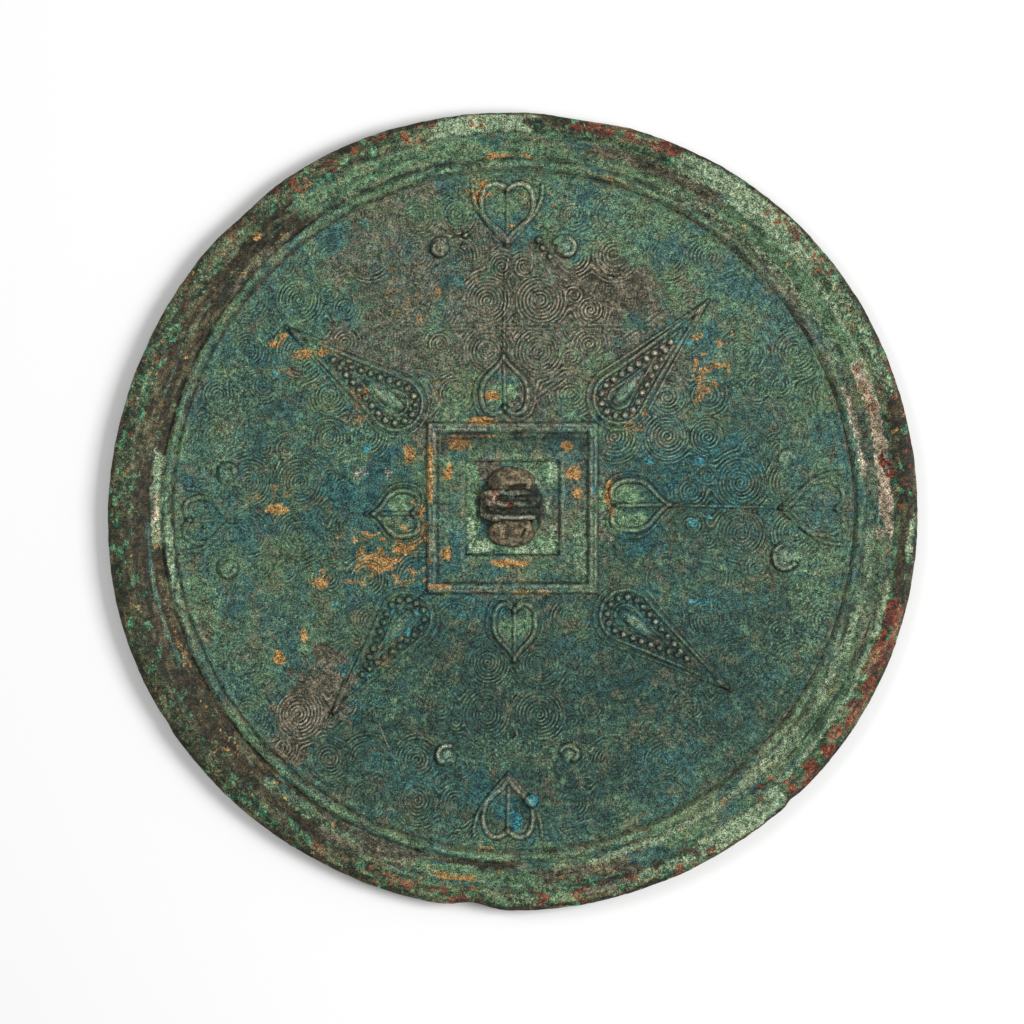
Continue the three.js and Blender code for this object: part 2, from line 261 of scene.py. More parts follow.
def distance_to(path, x, y):
    best = np.full(x.shape, np.inf)
    for (ax, ay), (bx, by) in zip(path[:-1], path[1:]):
        ux, uy = bx - ax, by - ay
        t = np.clip(((x - ax) * ux + (y - ay) * uy) / (ux * ux + uy * uy + 1e-12), 0, 1)
        best = np.minimum(best, np.hypot(x - ax - t * ux, y - ay - t * uy))
    return best


def inside(path, x, y):
    """Whether each point is inside a closed outline."""
    crossings = np.zeros(x.shape, int)
    for (ax, ay), (bx, by) in zip(path, np.roll(path, -1, axis=0)):
        spans = (ay > y) != (by > y)
        where = ax + (y - ay) * (bx - ax) / (by - ay if by != ay else 1e-12)
        crossings += spans & (x < where)
    return crossings % 2 == 1


class Relief:
    """The back's points with their heights, their dirt and wear with painted light and shade laid
    on them, and how much of the ground shows there."""

    def __init__(self, x, y):
        self.x, self.y = x, y
        self.z = np.full(x.shape, FIELD_Z)
        # Lighter crests and darker feet of the relief: wear and dirt, with painted light and shade.
        self.tone = np.zeros(x.shape)
        # Polish of bare metal with painted highlight on it; the material lightens it towards pale
        # beige.
        self.shine = np.zeros(x.shape)
        self.chips = np.clip(0.75 + 0.9 * rough(x, y, 2.2, 28, 3), 0, 1)
        self.bare_ground = np.ones(x.shape)
        self.crisp = line_wear(x, y)

    def line(self, path, half_width, rise, dark=0.9, shine=0.0):
        """A raised line with a rounded crest, lighter on top as wear and painted highlight, and
        darker along its foot as dirt and painted shade.
        """
        reach = half_width + 1.0
        near = near_box(path, self.x, self.y, reach)
        away = distance_to(path, self.x[near], self.y[near])
        crest = np.clip(1 - (away / half_width) ** 2, 0, 1)
        self.z[near] += rise * crest**1.3
        foot = np.exp(-(((away - half_width - 0.05) / 0.24) ** 2))
        self.tone[near] += self.crisp[near] * (0.85 * crest**2 - dark * foot)
        polish = shine * crest**2 * self.chips[near]
        self.shine[near] = np.maximum(self.shine[near], polish)

    def dome(self, cx, cy, half_long, half_wide, turn, rise, dark=1.0, shine=0.0):
        reach = max(half_long, half_wide) + 1.0
        near = near_box(np.array([[cx, cy]]), self.x, self.y, reach)
        dx, dy = self.x[near] - cx, self.y[near] - cy
        u = (dx * math.cos(turn) + dy * math.sin(turn)) / half_long
        v = (dy * math.cos(turn) - dx * math.sin(turn)) / half_wide
        away = np.hypot(u, v)
        crest = np.clip(1 - away**2, 0, 1)
        self.z[near] += rise * np.sqrt(crest)
        foot = np.exp(-(((away - 1.08) * half_wide / 0.26) ** 2))
        # Lighter on top and ringed darker at the foot: painted highlight and painted shade, with
        # dirt.
        self.tone[near] += np.sqrt(self.crisp[near]) * (1.0 * crest - dark * foot)
        self.shine[near] = np.maximum(self.shine[near], shine * crest * self.chips[near])

    def clear(self, outline, margin):
        """Keeps the ground out of a form and a little way round it."""
        near = near_box(outline, self.x, self.y, margin + 0.6)
        x, y = self.x[near], self.y[near]
        closed = np.concatenate([outline, outline[:1]])
        away = np.where(inside(outline, x, y), 0, distance_to(closed, x, y))
        keep = smooth_step(margin, margin + 0.5, away)
        self.bare_ground[near] = np.minimum(self.bare_ground[near], keep)


def twin_lines(relief, place, path, **line):
    """A line along one side of a leaf, and its mirror image along the other."""
    relief.line(place(path), **line)
    relief.line(place(mirrored(path)), **line)


def heart_leaf(relief, leaf, sheath):
    """A heart leaf: outline, inner line and vein, with a thin line or a sheath round it."""
    root_x, root_y, tip_x, tip_y, width = leaf
    # How much polish and painted highlight the outline and vein carry: most on the sheathed leaves to
    # the north and south.
    shine = 0.12
    north_or_south = abs(root_x) < 10
    if sheath and north_or_south:
        shine = 0.7 if root_y > 0 else 0.5
    length = math.hypot(tip_x - root_x, tip_y - root_y)
    place = lambda path: placed(path, root_x, root_y, tip_x, tip_y)
    side = heart_side(length, width / 2 - 1.0)
    relief.clear(place(np.concatenate([side, mirrored(side)[::-1]])), 1.7)
    twin_lines(relief, place, side, half_width=0.7, rise=0.7, dark=1.2, shine=shine)
    inner = heart_side(0.82 * length, width / 2 - 2.2) + [0.07 * length, 0]
    twin_lines(relief, place, inner, half_width=0.3, rise=0.16, dark=0.35)
    vein = place(np.array([[0.1 * length, 0], [0.84 * length, 0]]))
    relief.line(vein, half_width=0.5, rise=0.5, dark=1.0, shine=0.6 * shine)
    if not sheath:
        around = heart_side(length + 3.0, width / 2 + 0.8) - [1.2, 0]
        twin_lines(relief, place, around, half_width=0.35, rise=0.3, dark=0.9)
    else:
        half = width / 2 + 1.2
        outer = cubic((0.02 * length, half), (0.5 * length, half + 0.3),
                      (0.72 * length, 0.45 * half), (length + 1.0, 0), 16)
        twin_lines(relief, place, outer, half_width=0.55, rise=0.5, dark=1.2, shine=0.3 * shine)


def long_leaf(relief, leaf, shine):
    """A long leaf: nested lines, a row of beads between them, a boss and a raised tip."""
    root_x, root_y, tip_x, tip_y, radius = leaf
    length = math.hypot(tip_x - root_x, tip_y - root_y)
    turn = math.atan2(tip_y - root_y, tip_x - root_x)
    place = lambda path: placed(path, root_x, root_y, tip_x, tip_y)
    edge = long_side(length, radius - 0.6)
    relief.clear(place(np.concatenate([edge, mirrored(edge)[::-1]])), 1.9)
    lines = [
        (edge, 0.55, 0.55, 0.8),
        (long_side(length + 1.5, radius + 1.0), 0.35, 0.3, 0.9),
        (long_side(0.74 * length, radius - 1.5), 0.26, 0.22, 0.5),
        (long_side(0.5 * length, radius - 3.3), 0.26, 0.25, 0.5),
        (long_side(0.44 * length, radius - 4.3), 0.42, 0.4, 0.6),
    ]
    for path, half_width, rise, dark in lines:
        twin_lines(relief, place, path, half_width=half_width, rise=rise, dark=dark,
                   shine=0.12 * shine)
    # The beads and the tip carry polish and painted highlight; each bead is ringed darker at its
    # foot, as dirt and painted shade.
    bead_radius, bead_pitch = 0.82, 2.3
    beads = spaced(long_side(0.6 * length, radius - 2.35), bead_pitch)
    for cx, cy in place(np.concatenate([beads, mirrored(beads[1:-1])])):
        relief.dome(cx, cy, bead_radius, bead_radius, 0, 0.85, 1.7, 0.9 * shine)
    (cx, cy), = place(np.array([[3.4, 0.0]]))
    relief.dome(cx, cy, 5.6, 1.6, turn, 0.7, 0.9)
    tip = place(np.array([[0.95 * length, 0.0]]))[0]
    relief.dome(tip[0], tip[1], 2.0, 0.55, turn, 0.4, 0.9, 1.2 * shine)


def hook(relief, x, y, radius, start, turn):
    """A curled hook round a low boss. The upper one to the east is worn faint."""
    share = np.linspace(0, 1, 25)
    angle = np.radians(start + turn * share)
    reach = radius * (1 - 0.45 * share)
    path = np.stack([x + reach * np.cos(angle), y + reach * np.sin(angle)], axis=1)
    rim = np.radians(np.arange(0, 360, 20))
    relief.clear(np.stack([x + radius * np.cos(rim), y + radius * np.sin(rim)], axis=1), 0.9)
    north, south, east = y > 50, y < -50, x > 50
    boss_rise = 1.0 if north else 0.35
    faint = 0.45 if east and y > 0 else 1.0
    relief.dome(x, y, 0.9 * radius, 0.8 * radius, 0.4, boss_rise * faint, 0.9 * faint)
    relief.line(path, half_width=0.8, rise=0.8 * faint, dark=1.2 * faint)
    # Painted highlight: a thin pale line along one side of the curl, on the north and south hooks and
    # the lower east one.
    bright = path[np.cos(angle) < 0.5] if south else path[np.cos(angle) > 0.1] + [0.25, 0.0]
    if north or south:
        relief.line(bright, half_width=0.45, rise=0.1, dark=0, shine=0.9)
    elif east and y < 0:
        relief.line(path, half_width=0.4, rise=0.1, dark=0.4, shine=0.5)


def square_frame(relief):
    """The square round the knob: a double ridge outside, a hollowed band and a step inside."""
    dx, dy = np.abs(relief.x - SQUARE_CENTRE[0]), np.abs(relief.y - SQUARE_CENTRE[1])
    side = np.maximum(dx, dy)
    near = side < SQUARE_OUTER + 1.6
    profile = [
        (0, 0), (SQUARE_INNER - 0.7, 0), (SQUARE_INNER - 0.35, 0.04), (SQUARE_INNER + 0.05, 0.62),
        (SQUARE_INNER + 0.6, 0.85), (SQUARE_INNER + 1.4, 0.72), (SQUARE_OUTER - 5.4, 0.5),
        (SQUARE_OUTER - 2.9, 0.58), (SQUARE_OUTER - 2.5, 0.62), (SQUARE_OUTER - 2.1, 1.05),
        (SQUARE_OUTER - 1.6, 1.25), (SQUARE_OUTER - 1.1, 1.1), (SQUARE_OUTER - 0.75, 1.28),
        (SQUARE_OUTER - 0.3, 1.05), (SQUARE_OUTER + 0.15, 0.1), (SQUARE_OUTER + 0.5, 0),
    ]
    at, rise = zip(*profile)
    relief.z[near] += np.interp(side[near], at, rise)
    worn = 0.7 + 0.6 * rough(relief.x[near], relief.y[near], 3.0, 25)
    low = smooth_step(-8, -11.5, relief.y[near])
    # Dark lines at the feet of the steps and between the ridges: dirt and painted shade; the inner
    # one is darker to the south.
    dirt_and_shade_lines = [
        (SQUARE_INNER - 0.25, 0.32, 0.9 + 1.3 * low), (SQUARE_OUTER - 2.6, 0.38, 1.6),
        (SQUARE_OUTER + 0.15, 0.3, 1.1), (SQUARE_OUTER - 1.1, 0.2, 0.7),
        (SQUARE_OUTER - 3.7, 0.9, 0.5),
    ]
    for edge, width, depth in dirt_and_shade_lines:
        relief.tone[near] -= worn * depth * np.exp(-(((side[near] - edge) / width) ** 2))
    # Painted highlights along the tops of the two ridges and the inner step.
    highlight_lines = [
        (SQUARE_OUTER - 1.65, 0.3, 0.75), (SQUARE_OUTER - 0.55, 0.3, 0.75),
        (SQUARE_INNER + 0.7, 0.4, 0.5),
    ]
    for edge, width, light in highlight_lines:
        lit = light * np.exp(-(((side[near] - edge) / width) ** 2))
        relief.tone[near] += worn * lit
        relief.shine[near] = np.maximum(relief.shine[near], 0.35 * lit * relief.chips[near] ** 2)
    # Painted shade over the north side of the hollowed band.
    shaded = smooth_step(13.5, 15.5, relief.y) * smooth_step(19.5, 18, relief.y)
    relief.tone -= 0.55 * shaded * (np.abs(relief.x) < 18)
    relief.bare_ground[side < SQUARE_OUTER + 0.9] = 0


def knob_seat(relief):
    """The low round seat of the knob, with two lumps of crust and a pale arc to the north that
    carries painted highlight.
    """
    away = np.hypot(relief.x - KNOB_CENTRE[0], relief.y - KNOB_CENTRE[1] - 0.3)
    away += 0.9 * rough(relief.x, relief.y, 3.2, 26)
    relief.z += (SEAT_Z - FIELD_Z) * (1 - smooth_step(SEAT_RADIUS - 0.7, SEAT_RADIUS, away))
    relief.tone -= 0.9 * np.exp(-(((away - SEAT_RADIUS + 0.6) / 1.1) ** 2))
    relief.tone -= 0.5 * (1 - smooth_step(SEAT_RADIUS - 1, SEAT_RADIUS + 0.5, away))
    relief.dome(5.3, -3.4, 2.1, 1.1, 1.4, 1.1, 0.8)
    relief.dome(-9.4, -1.6, 0.6, 0.9, 0.5, 0.6, 0.5)
    pale_lit_arc = np.exp(-(((away - SEAT_RADIUS - 0.3) / 0.55) ** 2))
    pale_lit_arc *= smooth_step(6.5, 9.5, relief.y + 0.35 * relief.x)
    relief.z += 0.4 * pale_lit_arc
    relief.tone += 1.1 * pale_lit_arc
    relief.shine = np.maximum(relief.shine, 0.75 * pale_lit_arc * relief.chips)


def field_border(relief):
    """A thin ridge round the field, just inside the groove at the rim."""
    r = np.hypot(relief.x, relief.y)
    at = (0, BORDER_RADIUS, 83.7, 84.1, 84.5, GROOVE_RADIUS)
    relief.z += np.interp(r, at, (0, 0, 0.3, 0.3, -0.1, -GROOVE_DROP))
    worn = np.clip(0.7 + 0.8 * rough(relief.x, relief.y, 5.0, 30), 0.1, 1.3)
    relief.tone -= 0.35 * worn * smooth_step(83.6, 84.2, r)
    relief.tone += 0.35 * np.exp(-(((r - BORDER_RADIUS) / 0.4) ** 2))
    relief.bare_ground *= 1 - smooth_step(BORDER_RADIUS - 0.6, BORDER_RADIUS, r)


def ground(relief):
    """The spiral ground: whorls, lines that wrap round them, granules and lozenge lines."""
    x = relief.x - LOZENGE_CENTRE[0]
    x = np.where(x < 0, x * WEST_SQUEEZE, x)
    y = relief.y - LOZENGE_CENTRE[1]
    x = x + WANDER * hills(relief.x, relief.y, WANDER_SIZE, 3)
    y = y + WANDER * hills(relief.x, relief.y, WANDER_SIZE, 4)
    p, q = x / LOZENGE_WIDTH + y / LOZENGE_HEIGHT, x / LOZENGE_WIDTH - y / LOZENGE_HEIGHT
    p, q = 2 * np.round(p / 2), 2 * np.round(q / 2)
    column, row = (p + q) / 2, (p - q) / 2
    dx, dy = x - column * LOZENGE_WIDTH, y - row * LOZENGE_HEIGHT
    across, up = np.abs(dx), np.abs(dy)
    hand = np.sign(dx) * np.sign(dy)
    slope = math.hypot(1 / LOZENGE_WIDTH, 1 / LOZENGE_HEIGHT)
    to_border = (1 - across / LOZENGE_WIDTH - up / LOZENGE_HEIGHT) / slope
    long_split = column.astype(int) % 2 == 0
    to_split = np.where(long_split, up, across)

    pattern = np.zeros(x.shape)
    for chosen, whorls in ((long_split, LONG_SPLIT_WHORLS), (~long_split, SHORT_SPLIT_WHORLS)):
        a, b, h = across[chosen], up[chosen], hand[chosen]
        gaps = np.stack([np.hypot(a - wx, b - wy) - wr for wx, wy, wr in whorls])
        turns = np.stack([np.arctan2(b - wy, a - wx) for wx, wy, wr in whorls])
        nearest = gaps.argmin(axis=0)
        gap = np.take_along_axis(gaps, nearest[None], 0)[0]
        turn = np.take_along_axis(turns, nearest[None], 0)[0]
        radius = np.array([wr for _, _, wr in whorls])[nearest]
        spiral = (gap + radius) / SPIRAL_PITCH - h * turn / (2 * math.pi)
        blend = -np.log(np.exp(-WHORL_BLEND * gaps).sum(axis=0)) / WHORL_BLEND
        wrapped = blend / SPIRAL_PITCH + 0.5
        lines = np.where(gap < 0, np.cos(2 * math.pi * spiral), np.cos(2 * math.pi * wrapped))
        lines = np.tanh(1.5 * lines)
        u, v = 0.8 * a + 0.6 * b, 0.6 * a - 0.8 * b
        step = 2 * math.pi / GRANULE_PITCH
        granules = 1.5 * np.clip(np.cos(step * u) * np.cos(step * v), 0, 1) - 0.6
        share = smooth_step(GRANULES_START, GRANULES_FULL, blend)
        pattern[chosen] = lines * (1 - share) + granules * share

    strip = np.minimum(to_border, to_split)
    band = smooth_step(0.85, 1.15, strip)
    ridges = np.exp(-(((strip - 0.55) / 0.2) ** 2))
    grooves = np.exp(-((strip / 0.2) ** 2)) + np.exp(-(((strip - 1.02) / 0.16) ** 2))
    clear = with_zones(0.25, relief.x, relief.y, CLEAR_LINES)
    ruled = clear * (0.9 * ridges - 1.0 * grooves)
    ruled *= np.clip(0.75 + 0.9 * rough(relief.x, relief.y, 4.0, 34, 3), 0.1, 1.3)
    pattern = pattern * band + np.where(clear > 0.6, ruled, ruled + 0.4 * pattern) * (1 - band)
    pattern *= np.clip(0.85 + 0.8 * rough(relief.x, relief.y, 1.3, 29, 3), 0.15, 1.3)

    wear = ground_wear(relief.x, relief.y) * relief.bare_ground
    relief.z += GROUND_RISE * pattern * wear
    # Crests of the spiral ground lighter and grooves darker: wear and dirt, with painted light and
    # shade.
    relief.tone += 1.05 * pattern * wear
    crest_polish_and_highlight = soft_zones(relief.x, relief.y, CREST_POLISH_AND_HIGHLIGHT)
    crest = np.clip(pattern, 0, 1) * wear * relief.chips
    relief.shine = np.maximum(relief.shine, 0.4 * crest_polish_and_highlight * crest)
    relief.shine *= 1 - soft_zones(relief.x, relief.y, DULLED)


def line_wear(x, y):
    """How sharply the leaves' lines still stand out, from 0 to 1."""
    crisp = 0.85 + 0.35 * rough(x, y, 5, 23) + 0.25 * rough(x, y, 1.6, 24, 3)
    for zone_x, zone_y, half, change in LINE_WEAR:
        crisp += change * np.exp(-((x - zone_x) ** 2 + (y - zone_y) ** 2) / half**2)
    return np.clip(crisp, 0.15, 1.0)


def ground_wear(x, y):
    """How crisp the ground still is, from 0 to 1: sharp under the north leaf, worn far out."""
    crisp = 0.66 + 0.28 * hills(x, y, 12, 21) + 0.25 * hills(x, y, 4, 22)
    crisp = np.clip(with_zones(crisp, x, y, GROUND_WEAR), 0.3, 1.0)
    eaten = smooth_step(-0.75, 0.15, rough(x, y, 2.6, 27) + 0.9 * (crisp - 0.5))
    return crisp * (0.25 + 0.75 * eaten)


def corrosion(x, y):
    """Small swellings and pits of the corroded skin, in millimetres of height."""
    swelling = 0.05 * rough(x, y, 4.5, 31) + 0.035 * rough(x, y, 1.1, 32, 3)
    pits = 0.12 * smooth_step(0.52, 0.85, hills(x, y, 1.3, 33))
    return swelling - pits


def rim_height(x, y, r):
    """Height of the rim's upper side at radius r of the true disc, with crust on its lip."""
    profile = [
        (GROOVE_RADIUS, 1.55), (85.1, 1.8), (85.6, 2.4), (86.1, 2.7), (86.7, 2.65),
        (87.2, 2.4), (87.6, 1.9), (87.9, 1.85), (88.4, 2.15), (90.5, 3.2), (92.6, 4.3),
        (94.4, 5.35), (95.6, 5.8), (97.4, RIM_Z), (98.7, RIM_Z - 0.15), (99.5, 5.4),
        (DISC_RADIUS, WALL_TOP_Z),
    ]
    at, z = zip(*profile)
    crust = smooth_step(93.5, 96.0, r) * (1 - smooth_step(99.2, 100, r))
    lumps = 0.16 * rough(x, y, 2.6, 41) - 0.25 * smooth_step(0.45, 0.8, hills(x, y, 1.9, 42))
    waves = 0.12 * rough(x, y, 7.0, 43) * smooth_step(88.0, 90.0, r)
    return np.interp(r, at, z) + crust * (lumps - 0.12) + waves * (1 - crust) - crack(x, y)


def crack(x, y):
    """A crack along the sloping band at the lower right: a narrow step in the metal."""
    angle = np.degrees(np.arctan2(y, x)) % 360
    r = np.hypot(x, y)
    line = 91.4 + 1.7 * (angle - 317) / 28 + 0.25 * hills(angle, r * 0, 2.0, 51)
    open_part = smooth_step(316.5, 319, angle) * (1 - smooth_step(342, 345.5, angle))
    return 0.45 * open_part * np.exp(-(((r - line) / 0.22) ** 2))


def edge_offset(angle):
    """How far the worn edge stands out from a true circle."""
    offset = np.full(np.shape(angle), -EDGE_INSET)
    for waves, size, crest in EDGE_WAVES:
        offset += size * np.cos(waves * (angle - math.radians(crest)))
    for at, depth, half_width in EDGE_LOSSES:
        turn = np.arctan2(np.sin(angle - math.radians(at)), np.cos(angle - math.radians(at)))
        offset -= depth * np.exp(-((turn / math.radians(half_width)) ** 2))
    return offset


def edge_share(r):
    """How much of the outline's wandering each radius takes on: none at the field, all outside."""
    return smooth_step(GROOVE_RADIUS + 3.15, DISC_RADIUS, r)


# ---- where each finish lies ------------------------------------------------------------------
def stains(x, y, spots, seed, ragged=0.55, grain=2.4):
    """Ragged stains, from 0 to 1: each spot is x, y, half width, half height, strength."""
    fray = ragged * rough(x, y, grain, seed, 4)
    cover = np.zeros(x.shape)
    for spot_x, spot_y, half_x, half_y, strength in spots:
        reach = np.hypot((x - spot_x) / half_x, (y - spot_y) / half_y)
        cover = np.maximum(cover, strength * (1 - smooth_step(0.7, 1.15, reach + fray)))
    return cover


# Stains on the field: x, y, half width, half height, strength.
AZURITE = [
    (-37, 9, 12, 12, 0.85), (-42, -6, 13, 7, 0.6), (-15, -22.5, 6.5, 1.6, 1.0),
    (-56, 46, 12, 18, 0.5), (48, 8.5, 15, 8, 0.95), (34, -5.5, 8, 6, 0.95),
    (-23, -17, 6, 6, 0.9), (31, -27, 11, 8, 0.6), (39, -64, 9, 22, 0.5), (-16, -65, 14, 8, 0.6),
    (46, 42, 6, 8, 0.55), (-71, -1, 10, 13, 0.4), (-2, -25, 12, 3.5, 0.7), (30, 34, 5, 3, 0.8),
    (-26, -28, 8, 6, 0.6), (-40, -48, 5, 9, 0.5), (72, 2, 9, 12, 0.35), (-30, -66, 10, 8, 0.4),
    (-0.5, -75, 5, 5, 0.9), (-9, -68, 5, 4, 0.9),
    (20, -38, 9, 6, 0.4), (-30, 22, 8, 5, 0.4), (-15, 60, 9, 6, 0.55), (41, 12, 4, 4, 0.9),
    (30, 14, 6, 5, 0.7), (50, -22, 14, 3, 0.5), (-29, 62, 8, 10, 0.4), (-4, 72, 4, 4, 0.3),
    (2.5, 71, 3, 5, 0.6), (-36, 66, 12, 5, 0.3),
]
# Small blue spots, all of full strength: x, y, half width, half height.
BRIGHT_BLUE = [
    (34.1, 12.7, 1.2, 1.0), (46.1, 12.7, 1.6, 1.2), (61.9, 10.5, 1.0, 0.8), (44.6, -2.7, 1.3, 1.3),
    (48.7, -1.5, 0.9, 0.5), (-23.8, -25.3, 0.8, 0.6), (-30.2, -24.8, 0.7, 0.7),
    (-26, -30.1, 0.7, 0.9), (-36.4, -41.1, 0.8, 0.6), (-44.1, -23, 0.8, 0.7),
    (-41.9, -39.9, 0.7, 1.0), (20.3, 5.2, 0.5, 1.5), (4.5, -72.1, 2.0, 2.0), (0.6, -77, 1.6, 2.6),
    (22, 31.6, 1.0, 0.6), (46.5, -22.5, 3.5, 0.5), (20.6, 22.7, 1.0, 0.6), (-36.3, 15.6, 1.2, 1.0),
    (42.6, 41.8, 2.2, 0.5), (-9.6, 9.9, 0.4, 0.5), (-59, 34, 0.6, 0.6), (36.2, 45, 0.8, 0.4),
]

# More stains on the field: x, y, half width, half height, strength.
DULL_METAL = [
    (6, 47, 34, 22, 0.6), (20, 54, 13, 11, 0.95), (34, 38, 14, 10, 0.5), (-8, 67, 12, 6, 0.5),
    (-28, 52, 16, 30, 0.55), (-20, 40, 14, 12, 0.5), (-18, 22, 8, 8, 0.5), (-6, -22, 8, 3, 0.5),
    (0, 22, 20, 3, 0.5), (17, 8, 5, 12, 0.45), (4, -21, 18, 2, 0.3),
    (-51, -49, 8.5, 7.5, 1.0), (-47.5, -43, 8, 4.5, 1.0), (-45.5, -36, 4.2, 3.4, 1.0),
    (-55, -58, 5, 4.5, 1.0), (24, 6, 3, 16, 0.5), (10, -2, 3, 8, 0.5), (-8, 10, 4, 3, 0.8),
    (48, 7, 20, 2, 0.3), (62, -10, 9, 8, 0.3), (-54.6, 34.4, 2.6, 1.3, 1.0),
    (-56.7, 28.5, 1.3, 1.0, 0.9), (-76.5, -26, 2.2, 5.5, 0.8),
]
BARE_FLECKS = [
    (-38.2, 9.5, 2.0, 1.8, 0.4), (-31.1, 9.4, 1.5, 1.5, 0.4), (-35.6, 1.0, 1.4, 0.7, 0.35),
]
MALACHITE = [
    (-9.9, 9.4, 2.2, 3.4, 0.9), (9.8, 9.0, 2.6, 4.2, 1.0), (-9.8, -4, 2.0, 7.0, 1.0),
    (-6.4, -8, 6, 2.4, 1.0), (3.0, -9.8, 9, 1.2, 1.0), (7.5, -8.6, 4, 2.6, 0.9), (26.5, 4, 5, 4, 0.9),
    (27.5, -2.5, 5, 3, 0.8), (-28, 2.6, 4, 3, 0.8), (-3, 29, 4, 3, 0.7), (0, -28, 6, 4, 0.6),
    (-18, -8, 3, 10, 0.4), (-64, -34, 14, 14, 0.3), (74, -20, 6, 16, 0.45), (70, -40, 10, 10, 0.3),
    (-70, 30, 8, 16, 0.4), (-30, -44, 14, 8, 0.3), (24, 70, 20, 8, 0.4), (0, -60, 24, 5, 0.35),
    (60, 40, 14, 20, 0.3), (-16, 24, 5, 4, 0.5), (-20, -36, 12, 5, 0.2), (30, -56, 14, 5, 0.3),
    (-40, 15, 6, 6, 0.45), (-28, 27, 5, 5, 0.4), (9, 40, 4, 4, 0.22), (-76, -22, 5, 8, 0.5),
    (46, -47, 7, 5, 0.25), (-53, 52, 5, 6, 0.35),
]
PALE = [
    (-8.6, -9.2, 3.4, 1.8, 0.6), (4.5, -9.9, 6, 1.2, 0.6), (10.0, -6.5, 1.4, 4.5, 0.5),
    (10.2, 9.4, 1.6, 3.0, 0.6), (-10.4, -4, 1.2, 5, 0.5), (8.2, 1.5, 1.0, 3, 0.5),
    (17, -8, 2, 9, 0.4), (-27.5, -1, 3, 2, 0.3), (-70, 16, 4, 10, 0.3), (27, 3.6, 3, 2, 0.3),
]
EARTH = [
    (-20.6, 10.2, 0.9, 8.0, 1), (-13.1, 16.6, 2.8, 1.5, 1), (-16.0, 9.5, 1.1, 2.4, 1),
    (13.2, 16.2, 1.6, 1.4, 1), (15.0, 9.4, 1.8, 2.0, 0.9), (16, 4.6, 1.2, 1.4, 0.8),
    (-1.4, -12.9, 4.6, 1.0, 1), (-7.7, 22.3, 4.0, 1.0, 1), (-5.1, 28.8, 2.2, 1.4, 0.9),
    (23.7, 4.6, 1.1, 3.2, 1), (-18.1, -18.9, 3.0, 0.8, 1), (2, -20.2, 2.6, 0.6, 0.9),
    (7.5, -20.2, 3.6, 0.6, 0.9), (-58.3, -36.3, 2.0, 1.6, 1), (-52, 39, 2.4, 1.2, 0.8),
    (-47.4, 39.4, 1.9, 1.1, 1), (-16.4, -10.9, 1.3, 1.8, 1), (24.8, 0, 0.8, 1.4, 0.8),
    (-33, -12.6, 5.5, 2.4, 0.8), (-28, -9.6, 2.6, 1.6, 0.9), (-47.8, -18.1, 2.2, 1.7, 0.9),
    (-58.5, 0.3, 2.8, 1.4, 0.8), (-51.8, -31, 0.9, 1.7, 0.9), (-25.8, 14.2, 1.6, 2.4, 0.8),
    (-10, 18.6, 8, 0.4, 0.6), (-14, 17.6, 4, 0.6, 0.7), (-59, 41.6, 2.0, 1.0, 0.8),
    (-57.1, 43.5, 1.4, 1.0, 0.9), (-3, 13.6, 8, 0.5, 0.3), (0, -17, 9, 0.6, 0.4),
]
EARTH_CRUMBS = [
    (-35.4, -12.1, 11, 7, 1.0), (-47.8, -17.1, 4, 3, 0.8), (48.0, 34.9, 6.5, 9.5, 1.0),
    (-8.6, 79.5, 5, 2.5, 0.9), (9.2, 74, 2.4, 6, 0.9), (5.6, 80, 4, 4, 0.6), (4, 69, 4, 4, 0.6),
    (-24, -8, 5, 11, 0.8), (-37, 26, 8, 6, 0.6), (-49, 36, 10, 8, 0.5), (-30, -36, 5, 5, 0.5),
    (-14, 32, 7, 5, 0.5), (-60, 2, 5, 4, 0.7), (30, 24, 5, 8, 0.6), (-6, -83, 5, 1.5, 0.7),
    (-26, 55, 10, 8, 0.5), (-5, -30, 8, 4, 0.4), (-20, 52, 5, 5, 0.6), (-66, -34, 6, 8, 0.35),
    (10, 58, 16, 12, 0.2), (4, 14, 12, 3, 0.3), (-50, 58, 10, 8, 0.3),
]

# Soft zones: where the ground's crests are polished and carry painted highlight, where lines lose
# that polish and highlight, where green is deep.
CREST_POLISH_AND_HIGHLIGHT = [
    (18, 61, 8, 6, 1.0), (20, 47, 14, 5, 1.0), (-4, 47, 12, 6, 0.3), (30, 48, 8, 8, 0.6),
    (36, 24, 8, 7, 0.6), (-51, -50, 9, 8, 0.8), (-24, 46, 12, 10, 0.4), (34, 16, 12, 6, 0.5),
    (-40, 30, 6, 5, 0.3), (-30, 30, 8, 6, 0.35), (10, 30, 10, 6, 0.4), (20, 30, 6, 10, 0.4),
]
DULLED = [(-2.2, 73, 9, 5.5, 0.8), (10, -62, 6, 4, 0.7), (-66, 0, 14, 12, 0.4)]
DEEP_GREEN = [
    (0, -48, 62, 24, 1.0), (47, 3, 24, 16, 0.85), (58, -40, 26, 24, 0.6), (-44, 0, 22, 18, 0.5),
    (0, -72, 50, 10, 0.5), (-40, -60, 16, 14, 0.3), (30, 30, 10, 8, 0.3), (-14, 64, 12, 8, 0.4),
    (34, 40, 4, 8, 0.9), (28, -10, 10, 6, 0.6), (-15, -34, 6, 6, 0.65), (22, -60, 10, 8, 0.5),
    (70, -23, 6, 8, 0.5), (30, -35, 10, 8, 0.5),
    (-66, 30, 12, 22, 0.5), (60, 30, 18, 18, 0.35),
]

